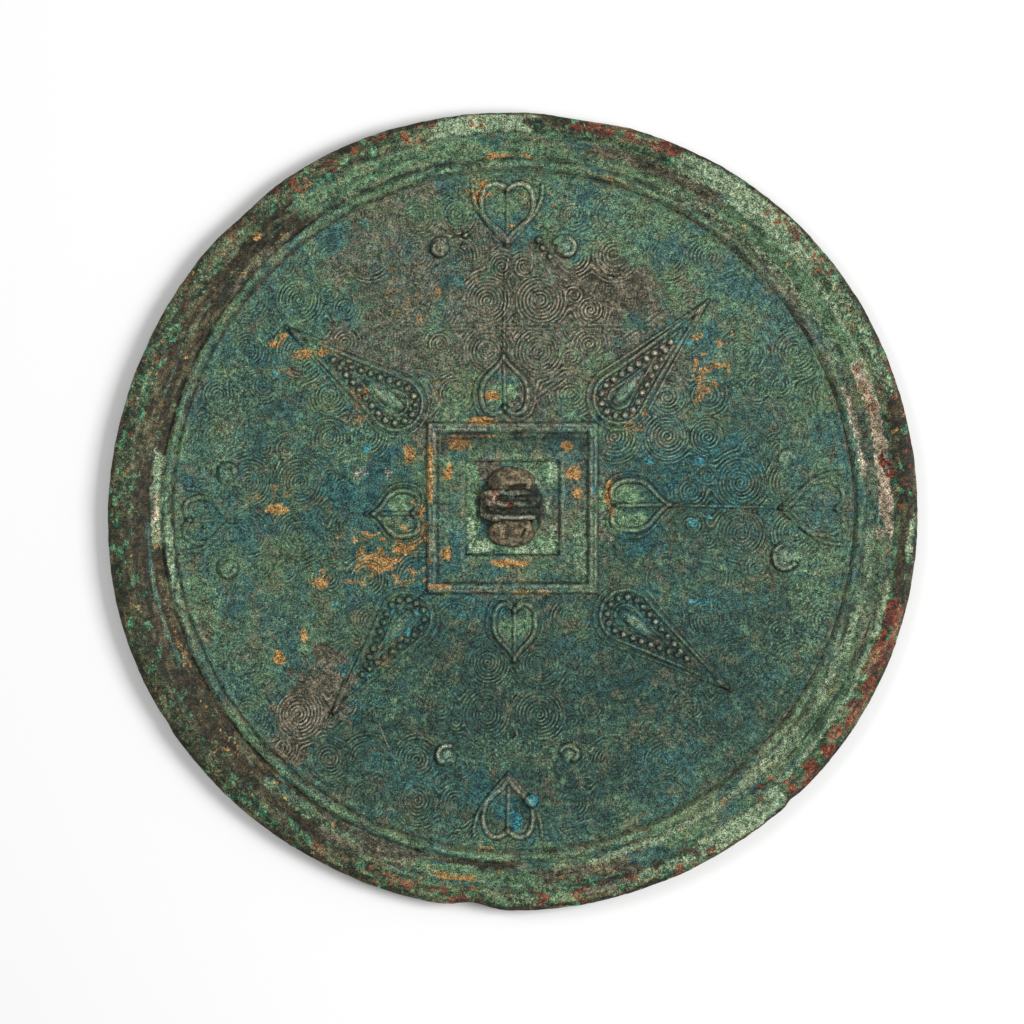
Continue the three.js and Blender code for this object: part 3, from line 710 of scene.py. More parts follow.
# Rust and the crusty lump on top of the knob, as soft zones.
KNOB_RUST = [(-0.6, 1.3, 1.2, 1.1, 1.0), (-4.8, 3.4, 2.4, 2.4, 1.2), (3.6, 3.5, 0.8, 0.8, 0.7)]
KNOB_CRUST = [(-4.9, 3.5, 2.4, 2.6, 1.0)]

# Stains on the rim: angles where they start and end, counted anticlockwise from the east, inner
# and outer radius, strength.
RIM_DARK = [
    (180, 230, 87.3, 90.4, 1.0), (125, 180, 87.4, 91.2, 1.0), (126, 205, 91.0, 94.6, 0.95),
    (205, 242, 90.0, 94.5, 0.95), (88, 126, 87.5, 88.4, 0.7), (60, 88, 87.4, 88.4, 0.5),
    (230, 242, 87.4, 88.8, 0.9), (0, 21, 95.0, 99.6, 0.8), (112, 180, 94.6, 99.2, 0.5),
    (180, 250, 94.0, 99.6, 0.6), (100, 180, 98.4, 99.9, 0.8), (74, 90, 95.5, 99.6, 0.6),
    (254, 270, 87.4, 89.0, 0.8), (279, 290, 94.2, 96.0, 0.7), (345, 360, 95.4, 99.4, 0.7),
    (40, 62, 95.2, 96.6, 0.45), (245, 300, 98.6, 99.9, 0.7), (146, 216, 85.3, 87.0, 0.35),
]
RIM_DULL = [
    (57, 78, 90.3, 93.7, 1.0), (36, 68, 87.4, 90.0, 0.8), (272.5, 289, 89.4, 93.7, 1.0),
    (238, 255, 87.8, 93.4, 0.9), (128, 142, 87.4, 89.2, 0.9), (285, 342, 87.8, 90.2, 0.7),
    (330, 358, 89, 93.5, 0.55), (0, 24, 87.6, 90.4, 0.5), (20, 70, 85.2, 87.2, 0.5),
    (262, 360, 84.9, 87.0, 0.35), (280, 288, 95.8, 99.4, 0.8), (0, 360, 84.2, 85.3, 0.5),
]
RIM_MALACHITE = [
    (95, 126, 89.2, 93.2, 1.0), (23, 56, 89.4, 93.3, 0.9), (318, 334, 89.0, 93.4, 1.0),
    (295, 303, 89.6, 92.8, 0.9), (334, 341, 89.0, 91.2, 0.7), (254, 274, 89.3, 93.3, 0.85),
    (227, 246, 89.5, 92.0, 0.5), (214, 300, 85.5, 86.8, 0.55), (56, 180, 85.6, 86.8, 0.5),
    (120, 180, 94.6, 99.2, 0.35), (195, 250, 94.6, 99.0, 0.3), (60, 112, 88.0, 90.6, 0.6),
    (20, 36, 94.5, 98.0, 0.5), (272, 281, 94.5, 98.5, 0.6), (342, 358, 87.0, 93.0, 0.5),
]
RIM_PALE = [
    (88, 102, 94.8, 99.4, 0.85), (39, 64, 93.6, 99.4, 0.6), (17, 55, 93.2, 94.5, 0.9),
    (300, 314, 94.6, 99.4, 0.95), (171, 185, 87.4, 90.0, 0.85), (180, 196, 85.0, 86.8, 0.6),
    (287, 301, 95.0, 98.5, 0.5), (282, 358, 87.8, 90.2, 0.6), (24, 66, 87.6, 90.0, 0.45),
    (0, 360, 98.9, 99.7, 0.2),
    (17, 40, 95.5, 99.0, 0.4), (352, 360, 97.5, 99.2, 0.6), (314, 350, 93.8, 95.0, 0.7),
    (96, 140, 95.0, 99.0, 0.25), (262, 275, 95.0, 99.0, 0.3), (140, 175, 95.5, 98.5, 0.22),
]
RIM_BARE = [(-3, 23, 90.9, 94.0, 1.0), (5, 20, 86.6, 88.6, 0.5), (176, 184, 88.0, 89.6, 0.6)]
RIM_RUST = [
    (63, 81, 96.2, 99.8, 1.0), (314, 348, 95.2, 99.8, 1.0), (42, 50, 95.6, 99.4, 0.6),
    (22, 40, 95.0, 99.4, 0.5), (287, 301, 95.2, 99.4, 0.6), (269, 281, 95.0, 99.6, 0.7),
    (248, 266, 95.2, 99.6, 0.7), (238, 248, 95.4, 98.4, 0.5), (101, 128, 94.6, 99.5, 0.7),
    (128, 180, 95.0, 99.6, 0.45), (5.4, 9.4, 91.2, 94.8, 1.0), (12, 22, 90.6, 93.4, 0.6),
    (0, 22, 95.0, 99.6, 0.5), (92, 95.5, 96.0, 99.4, 0.9), (312, 316, 91.5, 93.8, 0.9),
    (182, 240, 95.0, 99.6, 0.3), (293, 312, 94.0, 95.2, 0.5),
]
RIM_EARTH = [
    (257.5, 263, 91.8, 92.9, 1.0), (88, 93, 88.0, 88.9, 1.0), (182, 205, 88.6, 90.0, 0.35),
    (150, 168, 89.0, 92.0, 0.2), (70, 78, 85.6, 86.6, 0.5),
]
SEAM_ANGLE = 264  # where the noise along the rim starts and ends, in the largest loss of the edge


def rim_stains(angle, radius, bands, seed):
    """Ragged stains drawn out along the rim."""
    run = np.radians((angle - SEAM_ANGLE) % 360) * DISC_RADIUS
    fray = rough(run / 2.2, radius, 1.5, seed, 4) + 0.4 * rough(run, radius, 4.0, seed + 1, 3)
    cover = np.zeros(angle.shape)
    for start, end, inner, outer, strength in bands:
        turn = (angle - start) % 360
        turn = np.where(turn > (end - start + 360) / 2, turn - 360, turn)
        along = np.minimum(turn, end - start - turn) * math.radians(1) * DISC_RADIUS / 2.5
        across = np.minimum(radius - inner, outer - radius) / 0.5
        within = smooth_step(-0.7, 0.7, np.minimum(along, across) + 1.5 * fray)
        cover = np.maximum(cover, strength * within * (across > -2))
    return cover


def finishes(x, y, radius, tone):
    """Each finish's cover at every point, for the material to read."""
    angle = np.degrees(np.arctan2(y, x)) % 360
    on_rim = smooth_step(FIELD_EDGE, RIM_FOOT, radius)
    on_field = 1 - on_rim
    lip = smooth_step(LIP_STARTS, LIP_FULL, radius)
    crumbs = smooth_step(0.05, 0.35, rough(x, y, 1.7, 60, 3))
    groove = smooth_step(0.7, -0.4, tone)
    azurite = stains(x, y, AZURITE, 62, 0.7, 6.0) * (0.7 + 0.7 * rough(x, y, 2.4, 63))
    framed = np.maximum(np.abs(x - SQUARE_CENTRE[0]), np.abs(y - SQUARE_CENTRE[1])) < 19.5
    azurite *= np.where(framed & (x + y > -30), 0.25, 1)
    bright = [(px, py, hx, hy, 1.0) for px, py, hx, hy in BRIGHT_BLUE]
    earth = stains(x, y, EARTH, 66, 0.5, 1.5)
    loose = stains(x, y, EARTH_CRUMBS, 75, 0.8, 4.0) * crumbs * (0.35 + 0.65 * groove)
    rust = rim_stains(angle, radius, RIM_RUST, 67)
    rust *= smooth_step(-0.05, 0.3, rough(x, y, 2.0, 69) + 0.5 * (rust - 0.7))
    pale = stains(x, y, PALE, 86, 0.6, 2.4) * on_field
    run = np.radians((angle - SEAM_ANGLE) % 360) * DISC_RADIUS
    run_noise = rough(run / 1.6, radius, 1.7, 87)
    crumb_noise = rough(run / 1.2, radius, 1.5, 88)
    streak = rough(run / 6, radius, 0.9, 79, 3) + 0.6 * rough(run / 3, radius, 2.4, 80, 3)
    green_specks = 0.85 * smooth_step(0.22, 0.5, run_noise) * on_rim * (0.45 + 0.55 * lip)
    orange_specks = 0.9 * smooth_step(0.6, 0.74, crumb_noise) * smooth_step(87, 89, radius)
    layers = {
        "deep_green": soft_zones(x, y, DEEP_GREEN) * on_field,
        "dark_crust": rim_stains(angle, radius, RIM_DARK, 72),
        "dull_metal": np.maximum(stains(x, y, DULL_METAL, 64, 0.7, 5.0) * on_field,
                                 rim_stains(angle, radius, RIM_DULL, 73)),
        "azurite": azurite * on_field,
        "malachite": np.maximum(stains(x, y, MALACHITE, 70, 0.6, 4.0) * on_field,
                                rim_stains(angle, radius, RIM_MALACHITE, 76)),
        "vivid_green": green_specks,
        "pale_crust": np.maximum(pale, rim_stains(angle, radius, RIM_PALE, 71)),
        "bare_metal": np.maximum(stains(x, y, BARE_FLECKS, 89, 0.7, 1.6),
                                 rim_stains(angle, radius, RIM_BARE, 65)),
        "rust": rust,
        "earth": np.maximum.reduce([earth, loose, orange_specks,
                                    rim_stains(angle, radius, RIM_EARTH, 77)]),
        "bright_blue": stains(x, y, bright, 78, 0.5, 1.0),
        "lip": lip,
        "streak": streak * on_rim,
        "tone": np.clip(tone, -1.5, 1.3),
    }
    # The edge where it turns down, and the outer wall, get full dark crust: partly crust, partly
    # painted shade.
    layers["dark_crust"] = np.maximum(layers["dark_crust"], smooth_step(99.0, 99.7, radius))
    return {name: np.clip(cover, -1.5, 1.3) for name, cover in layers.items()}


# ---- meshes ------------------------------------------------------------------------------------
def disc_grid(radius, cell):
    """A square grid cut to a disc: points near the circle are moved onto it."""
    n = int(round(radius / cell))
    steps = np.arange(-n, n + 1) * cell
    x, y = np.meshgrid(steps, steps, indexing="ij")
    r = np.hypot(x, y)
    on = np.abs(r - radius) < 0.52 * cell
    scale = np.where(on, radius / np.maximum(r, 1e-9), 1)
    x, y = x * scale, y * scale
    kept = np.hypot(x, y) <= radius + 1e-6
    index = np.arange(x.size).reshape(x.shape)
    corners = np.stack([index[:-1, :-1], index[1:, :-1], index[1:, 1:], index[:-1, 1:]], -1)
    corners = corners.reshape(-1, 4)
    used = kept.ravel()[corners]
    quads = corners[used.all(axis=1)]
    three = used.sum(axis=1) == 3
    triangles = corners[three][used[three]].reshape(-1, 3)
    return x.ravel(), y.ravel(), quads, triangles


def border_loop(faces):
    """The points round the edge of a sheet, in order."""
    edges = np.concatenate([np.stack([f, np.roll(f, -1, axis=1)], -1).reshape(-1, 2)
                            for f in faces if len(f)])
    known = set(map(tuple, edges.tolist()))
    follow = {a: b for a, b in known if (b, a) not in known}
    first = min(follow)
    loop = [first]
    while follow[loop[-1]] != first:
        loop.append(follow[loop[-1]])
    return loop


def make_piece(name, points, faces, material, normals=None):
    """A smooth mesh that dresses the solid, from points in millimetres."""
    mesh = bpy.data.meshes.new(name)
    mesh.from_pydata((points * MM).tolist(), [], faces)
    mesh.polygons.foreach_set("use_smooth", np.ones(len(mesh.polygons), bool))
    mesh.update()
    piece = bpy.data.objects.new(name, mesh)
    bpy.context.scene.collection.objects.link(piece)
    mesh.materials.append(material)
    if normals is not None:
        mesh.normals_split_custom_set_from_vertices(normals.tolist())
    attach(piece, "root")
    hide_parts("mirror")
    return piece


def give_finishes(piece, values):
    """Writes each finish onto the piece's points, where its material reads it by name."""
    for name, value in values.items():
        layer = piece.data.attributes.new(name, "FLOAT", "POINT")
        layer.data.foreach_set("value", value.astype(np.float32))


def bake_map(piece, places):
    """A flat map of the piece for its baked textures, one place for each point."""
    layer = piece.data.uv_layers.new(name="OFBake")
    corners = np.empty(len(piece.data.loops), np.int32)
    piece.data.loops.foreach_get("vertex_index", corners)
    layer.data.foreach_set("uv", places[corners].astype(np.float32).ravel())


def sheet_normals(points, faces):
    """The mean direction of the faces round each point, weighted by their area."""
    total = np.zeros(points.shape)
    for f in faces:
        if len(f):
            a, b, c = points[f[:, 0]], points[f[:, 1]], points[f[:, 2]]
            flat = np.cross(b - a, c - a)
            for k in range(f.shape[1]):
                np.add.at(total, f[:, k], flat)
    return total / np.maximum(np.linalg.norm(total, axis=1), 1e-12)[:, None]


def only_used(quads, triangles):
    """The points that these faces use, and the faces counted among those points alone."""
    corners = np.concatenate([quads.ravel(), triangles.ravel()])
    used, back = np.unique(corners, return_inverse=True)
    split = quads.size
    return used, back[:split].reshape(-1, 4), back[split:].reshape(-1, 3)


def lofted(index):
    """Faces between the rows of a loft whose rows are closed rings."""
    ahead = np.roll(index, -1, axis=1)
    return np.stack([index[:-1], index[1:], ahead[1:], ahead[:-1]], -1).reshape(-1, 4).tolist()


def slab(name, points, faces, base, material, values, normals):
    """A solid between a relief sheet and a flat sheet at `base`, a point for each border point."""
    loop = border_loop(faces)
    n = len(points)
    low = n + np.arange(len(loop))
    points = np.concatenate([points, base])
    polygons = [row for f in faces for row in f.tolist()]
    for k in range(len(loop)):
        m = (k + 1) % len(loop)
        polygons.append([loop[m], loop[k], int(low[k]), int(low[m])])
    polygons.append([int(i) for i in low[::-1]])
    normals = np.concatenate([normals, normals[loop]])
    piece = make_piece(name, points, polygons, material, normals)
    give_finishes(piece, {k: np.concatenate([v, v[loop]]) for k, v in values.items()})
    return piece


# ---- the pieces ----------------------------------------------------------------------------------
def back_pieces(material):
    """The field with all its relief, in four quarters that meet along the grid's own lines."""
    x, y, quads, triangles = disc_grid(GROOVE_RADIUS, BACK_CELL)
    relief = Relief(x, y)
    square_frame(relief)
    knob_seat(relief)
    field_border(relief)
    for leaf in SQUARE_LEAVES:
        heart_leaf(relief, leaf, sheath=False)
    for leaf in RIM_LEAVES:
        heart_leaf(relief, leaf, sheath=True)
    for leaf, shine in zip(LONG_LEAVES, (1.0, 0.4, 0.05, 0.3)):
        long_leaf(relief, leaf, shine)
    for curl in HOOKS:
        hook(relief, *curl)
    for ends in STEMS:
        relief.line(np.reshape(ends, (2, 2)), half_width=0.4, rise=0.35, dark=0.8)
    for ends in SCRATCHES:
        relief.line(np.reshape(ends, (2, 2)), half_width=0.22, rise=0.03, dark=0.3, shine=0.45)
    for bead_x, bead_y, radius in BEADS:
        relief.dome(bead_x, bead_y, radius, radius, 0, rise=0.9 * radius, dark=1.2)
    ground(relief)
    relief.z += corrosion(x, y)
    r = np.hypot(x, y)
    fall = FIELD_Z - GROOVE_DROP * smooth_step(FIELD_EDGE, GROOVE_RADIUS, r)
    relief.z = np.where(r > FIELD_EDGE, fall, relief.z)
    points = np.stack([x, y, relief.z], axis=1)
    normals = sheet_normals(points, (quads, triangles))
    values = finishes(x, y, r, relief.tone)
    values["shine"] = relief.shine

    for name, east, north in (("back_north_east", 1, 1), ("back_north_west", -1, 1),
                              ("back_south_west", -1, -1), ("back_south_east", 1, -1)):
        chosen = []
        for f in (quads, triangles):
            middle_x, middle_y = x[f].mean(axis=1), y[f].mean(axis=1)
            chosen.append(f[(middle_x * east > 0) & (middle_y * north > 0)])
        used, *faces = only_used(*chosen)
        loop = border_loop(faces)
        base = points[used][loop] * [1, 1, 0] + [0, 0, FACE_THICKNESS]
        part = {k: v[used] for k, v in values.items()}
        piece = slab(name, points[used], faces, base, material, part, normals[used])
        top = np.abs(points[used][:, :2]) / GROOVE_RADIUS * 0.96 + 0.02
        bake_map(piece, np.concatenate([top, top[loop] * 0.02]))


def rim_piece(material):
    """The rim: a closed ring from the groove over the lip and down the outer edge."""
    top = np.concatenate([np.arange(GROOVE_RADIUS, 88.2, 0.3), np.arange(88.4, 100, 0.46)])
    wall = np.linspace(WALL_TOP_Z, FACE_THICKNESS + 0.1, WALL_ROWS)
    under = [DISC_RADIUS - 0.25, GROOVE_RADIUS]
    radii = np.concatenate([top, np.full(WALL_ROWS, DISC_RADIUS), under])
    angle = np.arange(RIM_STEPS) * 2 * math.pi / RIM_STEPS
    r = np.repeat(radii[:, None], RIM_STEPS, axis=1)
    a = np.broadcast_to(angle, r.shape)
    x, y = r * np.cos(a), r * np.sin(a)
    n_top = len(top)
    z = np.empty(r.shape)
    z[:n_top] = rim_height(x[:n_top], y[:n_top], r[:n_top])
    z[0] = FIELD_Z - GROOVE_DROP
    z[n_top:n_top + WALL_ROWS] = wall[:, None]
    z[n_top + WALL_ROWS:] = FACE_THICKNESS - 0.1
    arc = a * DISC_RADIUS
    dent = 0.12 * rough(arc, z * 1.5, 2.2, 81) + 0.1 * rough(arc, z * 0, 6.0, 82)
    fade = smooth_step(FACE_THICKNESS, 2.0, z) * smooth_step(97.5, 99.5, r)
    grow = 1 + (edge_share(r) * edge_offset(a) + fade * (dent - 0.1)) / r
    x, y = x * grow, y * grow
    rows = len(radii)
    index = np.arange(rows * RIM_STEPS).reshape(rows, RIM_STEPS)
    down, round_ = np.roll(index, -1, axis=0), np.roll(index, -1, axis=1)
    faces = np.stack([index, down, np.roll(down, -1, axis=1), round_], -1).reshape(-1, 4)
    points = np.stack([x, y, z], -1).reshape(-1, 3)
    tone = np.zeros(r.shape)
    # Darker in the grooves, as dirt and painted shade, and darkest in the crack, as painted shade;
    # lighter along the ridge at 86.1 mm.
    for groove, width, depth in ((84.9, 0.45, 0.3), (87.7, 0.5, 0.5), (94.6, 0.35, 0.4)):
        worn = np.clip(0.8 + 1.2 * rough(x, y, 5.0, 85), 0.0, 1.5)
        tone -= worn * depth * np.exp(-(((r - groove) / width) ** 2))
    tone[:n_top] -= 2.8 * crack(x[:n_top], y[:n_top])
    tone += 0.3 * np.exp(-(((r - 86.1) / 0.5) ** 2)) + 0.35 * rough(x, y, 1.2, 83)
    tone[n_top:] = -0.3 + 0.5 * rough(arc[n_top:], z[n_top:], 1.6, 84)
    unrolled = r.copy()
    unrolled[n_top:] += wall[0] - z[n_top:]
    values = finishes(x.ravel(), y.ravel(), unrolled.ravel(), tone.ravel())
    piece = make_piece("rim", points, faces.tolist(), material)
    give_finishes(piece, values)
    inward = np.linspace(0.5, 0.2, rows)
    places = np.stack([0.5 + inward[:, None] * np.cos(a), 0.5 + inward[:, None] * np.sin(a)], -1)
    bake_map(piece, places.reshape(-1, 2))


def face_piece(material):
    """The polished face underneath, flat but pitted, with the lower edge of the disc."""
    x, y, quads, triangles = disc_grid(DISC_RADIUS - 1.1, FACE_CELL)
    r, angle = np.hypot(x, y), np.arctan2(y, x)
    pits = 0.16 * smooth_step(0.3, 0.75, hills(x, y, 4.2, 91))
    pits = pits * smooth_step(-0.1, 0.5, rough(x, y, 22, 92))
    z = pits + 0.04 * smooth_step(0.1, 0.7, rough(x, y, 9, 93))
    grow = 1 + edge_share(r) * edge_offset(angle) / np.maximum(r, 1)
    points = np.stack([x * grow, y * grow, z], axis=1)
    used, quads, triangles = only_used(quads, triangles)
    points = points[used]
    loop = border_loop([quads, triangles])
    angle = np.arctan2(points[loop][:, 1], points[loop][:, 0])
    reach = DISC_RADIUS + edge_offset(angle) - 0.02
    rim = np.stack([reach * np.cos(angle), reach * np.sin(angle),
                    np.full(len(loop), FACE_THICKNESS)], axis=1)
    low = len(points) + np.arange(len(loop))
    polygons = quads[:, ::-1].tolist() + triangles[:, ::-1].tolist()
    for k in range(len(loop)):
        m = (k + 1) % len(loop)
        polygons.append([loop[k], loop[m], int(low[m]), int(low[k])])
    polygons.append([int(i) for i in low])
    everything = np.concatenate([points, rim])
    piece = make_piece("polished_face", everything, polygons, material)
    piece.data.set_sharp_from_angle(angle=0.5)
    fx, fy = everything[:, 0], everything[:, 1]
    toward_edge = np.hypot(fx, fy) / DISC_RADIUS
    spread = rough(fx, fy, 18, 94, 6) + 0.8 * rough(fx, fy, 4, 95) + 0.9 * toward_edge**3 - 0.25
    worn = 0.75 * smooth_step(-0.5, 1.1, spread)
    give_finishes(piece, {"patina": worn, "edge": smooth_step(94, 99, np.hypot(fx, fy))})
    scale = np.where(np.arange(len(everything)) < len(points), 0.96, 0.99)[:, None]
    bake_map(piece, everything[:, :2] / (2 * DISC_RADIUS + 2) * scale + 0.5)


def knob_height(x, across):
    """Top of the knob's strap: an arch along x with three cords on it."""
    span = np.clip(np.abs(x) / (KNOB_SPAN / 2), 0, 1)
    crown = (1 - span**2.6) ** 0.62
    ridges = np.zeros(np.shape(x + across))
    for offset in CORD_RIDGE_OFFSETS:
        ridges = np.maximum(ridges, np.sqrt(np.clip(1 - ((across - offset) / 0.98) ** 2, 0, 1)))
    return SEAT_Z + (KNOB_TOP_Z - SEAT_Z - CORD_RIDGE_RISE * (1 - ridges)) * crown


def knob_strap(material):
    """The knob: a loft of cross-sections from west to east, open underneath for the cord hole."""
    walls = [-HOLE_HALF_WIDTH - 0.05, -HOLE_HALF_WIDTH + 0.1, HOLE_HALF_WIDTH - 0.1,
             HOLE_HALF_WIDTH + 0.05]
    stations = np.linspace(-KNOB_SPAN / 2, KNOB_SPAN / 2, KNOB_STATIONS)
    xs = np.unique(np.concatenate([stations, walls]))
    rows = []
    for x in xs:
        half = KNOB_WIDTH / 2 * (1 - 0.4 * abs(2 * x / KNOB_SPAN) ** 4)
        over = np.linspace(-half, half, KNOB_TOP_STEPS)
        under = over[::-1][::3]
        roof = SEAT_Z - 0.3
        if abs(x) < HOLE_HALF_WIDTH:
            roof = SEAT_Z + HOLE_HEIGHT * (1 - (abs(x) / HOLE_HALF_WIDTH) ** 3) ** 0.5
        lip = 0.35 * (np.abs(over) / half) ** 8
        top = np.maximum(knob_height(x, over) - lip, SEAT_Z - 0.25)
        roof = min(roof, float(top.min()) - 0.6)
        drop = np.linspace(top[-1], roof, KNOB_SIDE_STEPS + 2)[1:-1]
        rise = np.linspace(roof, top[0], KNOB_SIDE_STEPS + 2)[1:-1]
        flank = np.full(KNOB_SIDE_STEPS, half)
        ys = np.concatenate([over, flank, under, -flank])
        zs = np.concatenate([top, drop, np.full(len(under), roof), rise])
        rows.append(np.stack([np.full(len(ys), x), ys, zs], axis=1))
    loft = np.array(rows)
    count, ring = loft.shape[:2]
    points = loft.reshape(-1, 3)
    px, py, pz = points.T
    lump = 0.42 * rough(px + 0.7 * pz, py + 0.4 * pz, 2.8, 101) - 0.3 * smooth_step(
        0.2, 0.7, hills(px - pz, py + pz, 1.4, 102))
    slant = (px + 4.3 + 0.9 * (py - 1.8)) / 1.5
    ridge_lump = 0.9 * np.exp(-(slant**2) - ((py - 1.8) / 2.4) ** 2)
    above = smooth_step(SEAT_Z, SEAT_Z + 1.6, pz)
    outward = np.clip(py / (0.46 * KNOB_WIDTH), -1, 1) ** 7
    points[:, 2] += above * (lump - 0.1 + np.where(pz > 4, ridge_lump, 0))
    points[:, 1] += 0.7 * above * lump * outward
    points[:, 2] = np.minimum(points[:, 2], KNOB_TOP_Z + 0.08)
    index = np.arange(count * ring).reshape(count, ring)
    faces = lofted(index)
    faces.append(index[0].tolist())
    faces.append(index[-1][::-1].tolist())
    points[:, 0] += KNOB_CENTRE[0]
    points[:, 1] += KNOB_CENTRE[1]
    piece = make_piece("knob_strap", points, faces, material)
    ridges = (pz - knob_height(px, py * 0 + CORD_RIDGE_OFFSETS[1])) / CORD_RIDGE_RISE
    x, y = points[:, 0], points[:, 1]
    # Lighter on the cords' crests and darker lower down, as painted light and shade, and darker
    # towards the ends.
    tone = 1.9 * ridges + 0.6 * rough(x, y, 1.2, 103) - 1.4 * smooth_step(5.8, 3.0, pz)
    tone -= 0.8 * smooth_step(5.8, 8.0, np.abs(x - KNOB_CENTRE[0]))
    crusty = with_zones(0.0, x, y, KNOB_CRUST)
    # Painted highlight along the southern cord, in the middle of the strap.
    cord_highlight = np.exp(-(((y - KNOB_CENTRE[1] - CORD_RIDGE_OFFSETS[0]) / 0.35) ** 2))
    cord_highlight *= np.abs(x - 0.5) < 5
    values = finishes(x, y, np.zeros(len(x)), tone)
    red = with_zones(0.0, x, y, KNOB_RUST)
    values["rust"] = np.clip(1.1 * red * (0.7 + 0.6 * rough(x, y, 1.4, 104)), 0, 0.85)
    crystals = (0.15 + 0.6 * crusty) * smooth_step(0.2, 0.6, rough(x, y, 0.9, 106, 3))
    values["shine"] = np.clip(crystals + 0.6 * cord_highlight, 0, 0.8)
    values["dull_metal"] = np.full(len(x), 0.6)
    ends = smooth_step(4.5, 7.0, np.abs(x - KNOB_CENTRE[0]))
    values["deep_green"] = ends
    values["malachite"] = 0.25 * smooth_step(0.2, 0.7, rough(x, y, 2.4, 105) + 0.05 * x)
    values["earth"] = np.zeros(len(x))
    give_finishes(piece, values)


# Packed earth: name, y of its middle, half width, reach, rise, seed, and its cleft, which is
# given by x, y, tilt and half length.
EARTH_LUMPS = [
    ("earth_north", KNOB_CENTRE[1] + 5.9, 5.9, 3.6, 2.3, 111, (1.4, -1.3, 0.12, 2.6)),
    ("earth_south", KNOB_CENTRE[1] - 6.6, 6.1, 3.8, 2.4, 121, (2.8, -0.4, 1.1, 1.6)),
]


def earth_lump(name, y, half_width, reach, rise, seed, cleft, material):
    """Packed earth at a mouth of the cord hole: a knobbly dome with a flat foot and a cleft."""
    rings, steps = 22, 72
    share = np.linspace(0, 1, rings)[1:]
    angle = np.arange(steps) * 2 * math.pi / steps
    s, a = np.meshgrid(share, angle, indexing="ij")
    wobble = 1 + 0.09 * rough(np.cos(a) * 4, np.sin(a) * 4, 3.0, seed)
    px, py = half_width * s * wobble * np.cos(a), reach * s * wobble * np.sin(a)
    dome = np.clip(1 - s**3.2, 0, 1) ** 0.7
    pz = rise * dome + 0.6 * dome * rough(px, py, 2.2, seed + 1, 5)
    cleft_x, cleft_y, tilt, half_long = cleft
    along = (px - cleft_x) * math.cos(tilt) + (py - cleft_y) * math.sin(tilt)
    across = (py - cleft_y) * math.cos(tilt) - (px - cleft_x) * math.sin(tilt)
    shaded_hollow = np.exp(-((across / 0.42) ** 2)) * smooth_step(half_long, half_long - 0.6, np.abs(along))
    pz -= 1.3 * shaded_hollow * dome
    crown = np.array([[0, 0, float(pz[0].mean()) + 0.03]])
    # Painted shade: the cleft and a ring round the lump's foot are darkened.
    shaded_hollow = np.maximum(shaded_hollow, 0.8 * smooth_step(0.86, 1.0, s))
    points = np.concatenate([crown, np.stack([px, py, pz], -1).reshape(-1, 3)])
    foot = np.stack([px[-1], py[-1], np.full(steps, -0.3)], axis=1)
    points = np.concatenate([points, foot])
    index = 1 + np.arange((rings - 1) * steps + steps).reshape(rings, steps)
    ahead = np.roll(index, -1, axis=1)
    faces = [[0, int(i), int(j)] for i, j in zip(index[0], ahead[0])]
    faces += lofted(index)
    faces.append(index[-1][::-1].tolist())
    points += [KNOB_CENTRE[0] + 0.2, y, SEAT_Z]
    piece = make_piece(name, points, faces, material)
    shaded_hollow = np.concatenate([[0.0], shaded_hollow.ravel(), np.ones(steps)])
    give_finishes(piece, {"shaded_hollow": shaded_hollow})


# ---- finishes ------------------------------------------------------------------------------------
def colour(red, green, blue):
    """A colour from its usual 0 to 255 values, as the light that the surface sends back."""
    light = []
    for value in (red, green, blue):
        v = value / 255
        light.append(v / 12.92 if v <= 0.04045 else ((v + 0.055) / 1.055) ** 2.4)
    return (*light, 1.0)


class Nodes:
    """Short ways to place and join shader nodes in one tree."""

    def __init__(self, tree):
        self.tree = tree

    def add(self, kind, **settings):
        node = self.tree.nodes.new(kind)
        for key, value in settings.items():
            setattr(node, key, value)
        return node

    def link(self, source, target):
        self.tree.links.new(source, target)

    def put(self, socket, value):
        if isinstance(value, bpy.types.NodeSocket):
            self.link(value, socket)
        else:
            socket.default_value = value

    def math(self, operation, a, b=0.0, c=0.0, clamp=False):
        node = self.add("ShaderNodeMath", operation=operation, use_clamp=clamp)
        for socket, value in zip(node.inputs, (a, b, c)):
            self.put(socket, value)
        return node.outputs[0]

    def mix(self, share, a, b, blend="MIX"):
        node = self.add("ShaderNodeMix", data_type="RGBA", blend_type=blend, clamp_factor=True)
        self.put(node.inputs["Factor"], share)
        self.put(node.inputs[6], a)
        self.put(node.inputs[7], b)
        return node.outputs[2]

    def noise(self, where, size, detail=4.0, roughness=0.6, distortion=0.0):
        """Noise whose lumps are about `size` metres across, from 0 to 1."""
        node = self.add("ShaderNodeTexNoise", noise_dimensions="3D")
        self.link(where, node.inputs["Vector"])
        node.inputs["Scale"].default_value = 1 / size
        node.inputs["Detail"].default_value = detail
        node.inputs["Roughness"].default_value = roughness
        node.inputs["Distortion"].default_value = distortion
        return node.outputs["Fac"]

    def ramp(self, value, low, high, to_low=0.0, to_high=1.0):
        node = self.add("ShaderNodeMapRange", interpolation_type="SMOOTHSTEP")
        for socket, v in zip(node.inputs, (value, low, high, to_low, to_high)):
            self.put(socket, v)
        return node.outputs["Result"]

    def attribute(self, name):
        return self.add("ShaderNodeAttribute", attribute_name=name).outputs["Fac"]

    def group(self, tree, **inputs):
        node = self.add("ShaderNodeGroup", node_tree=tree)
        for key, value in inputs.items():
            self.put(node.inputs[key.replace("_", " ")], value)
        return node.outputs


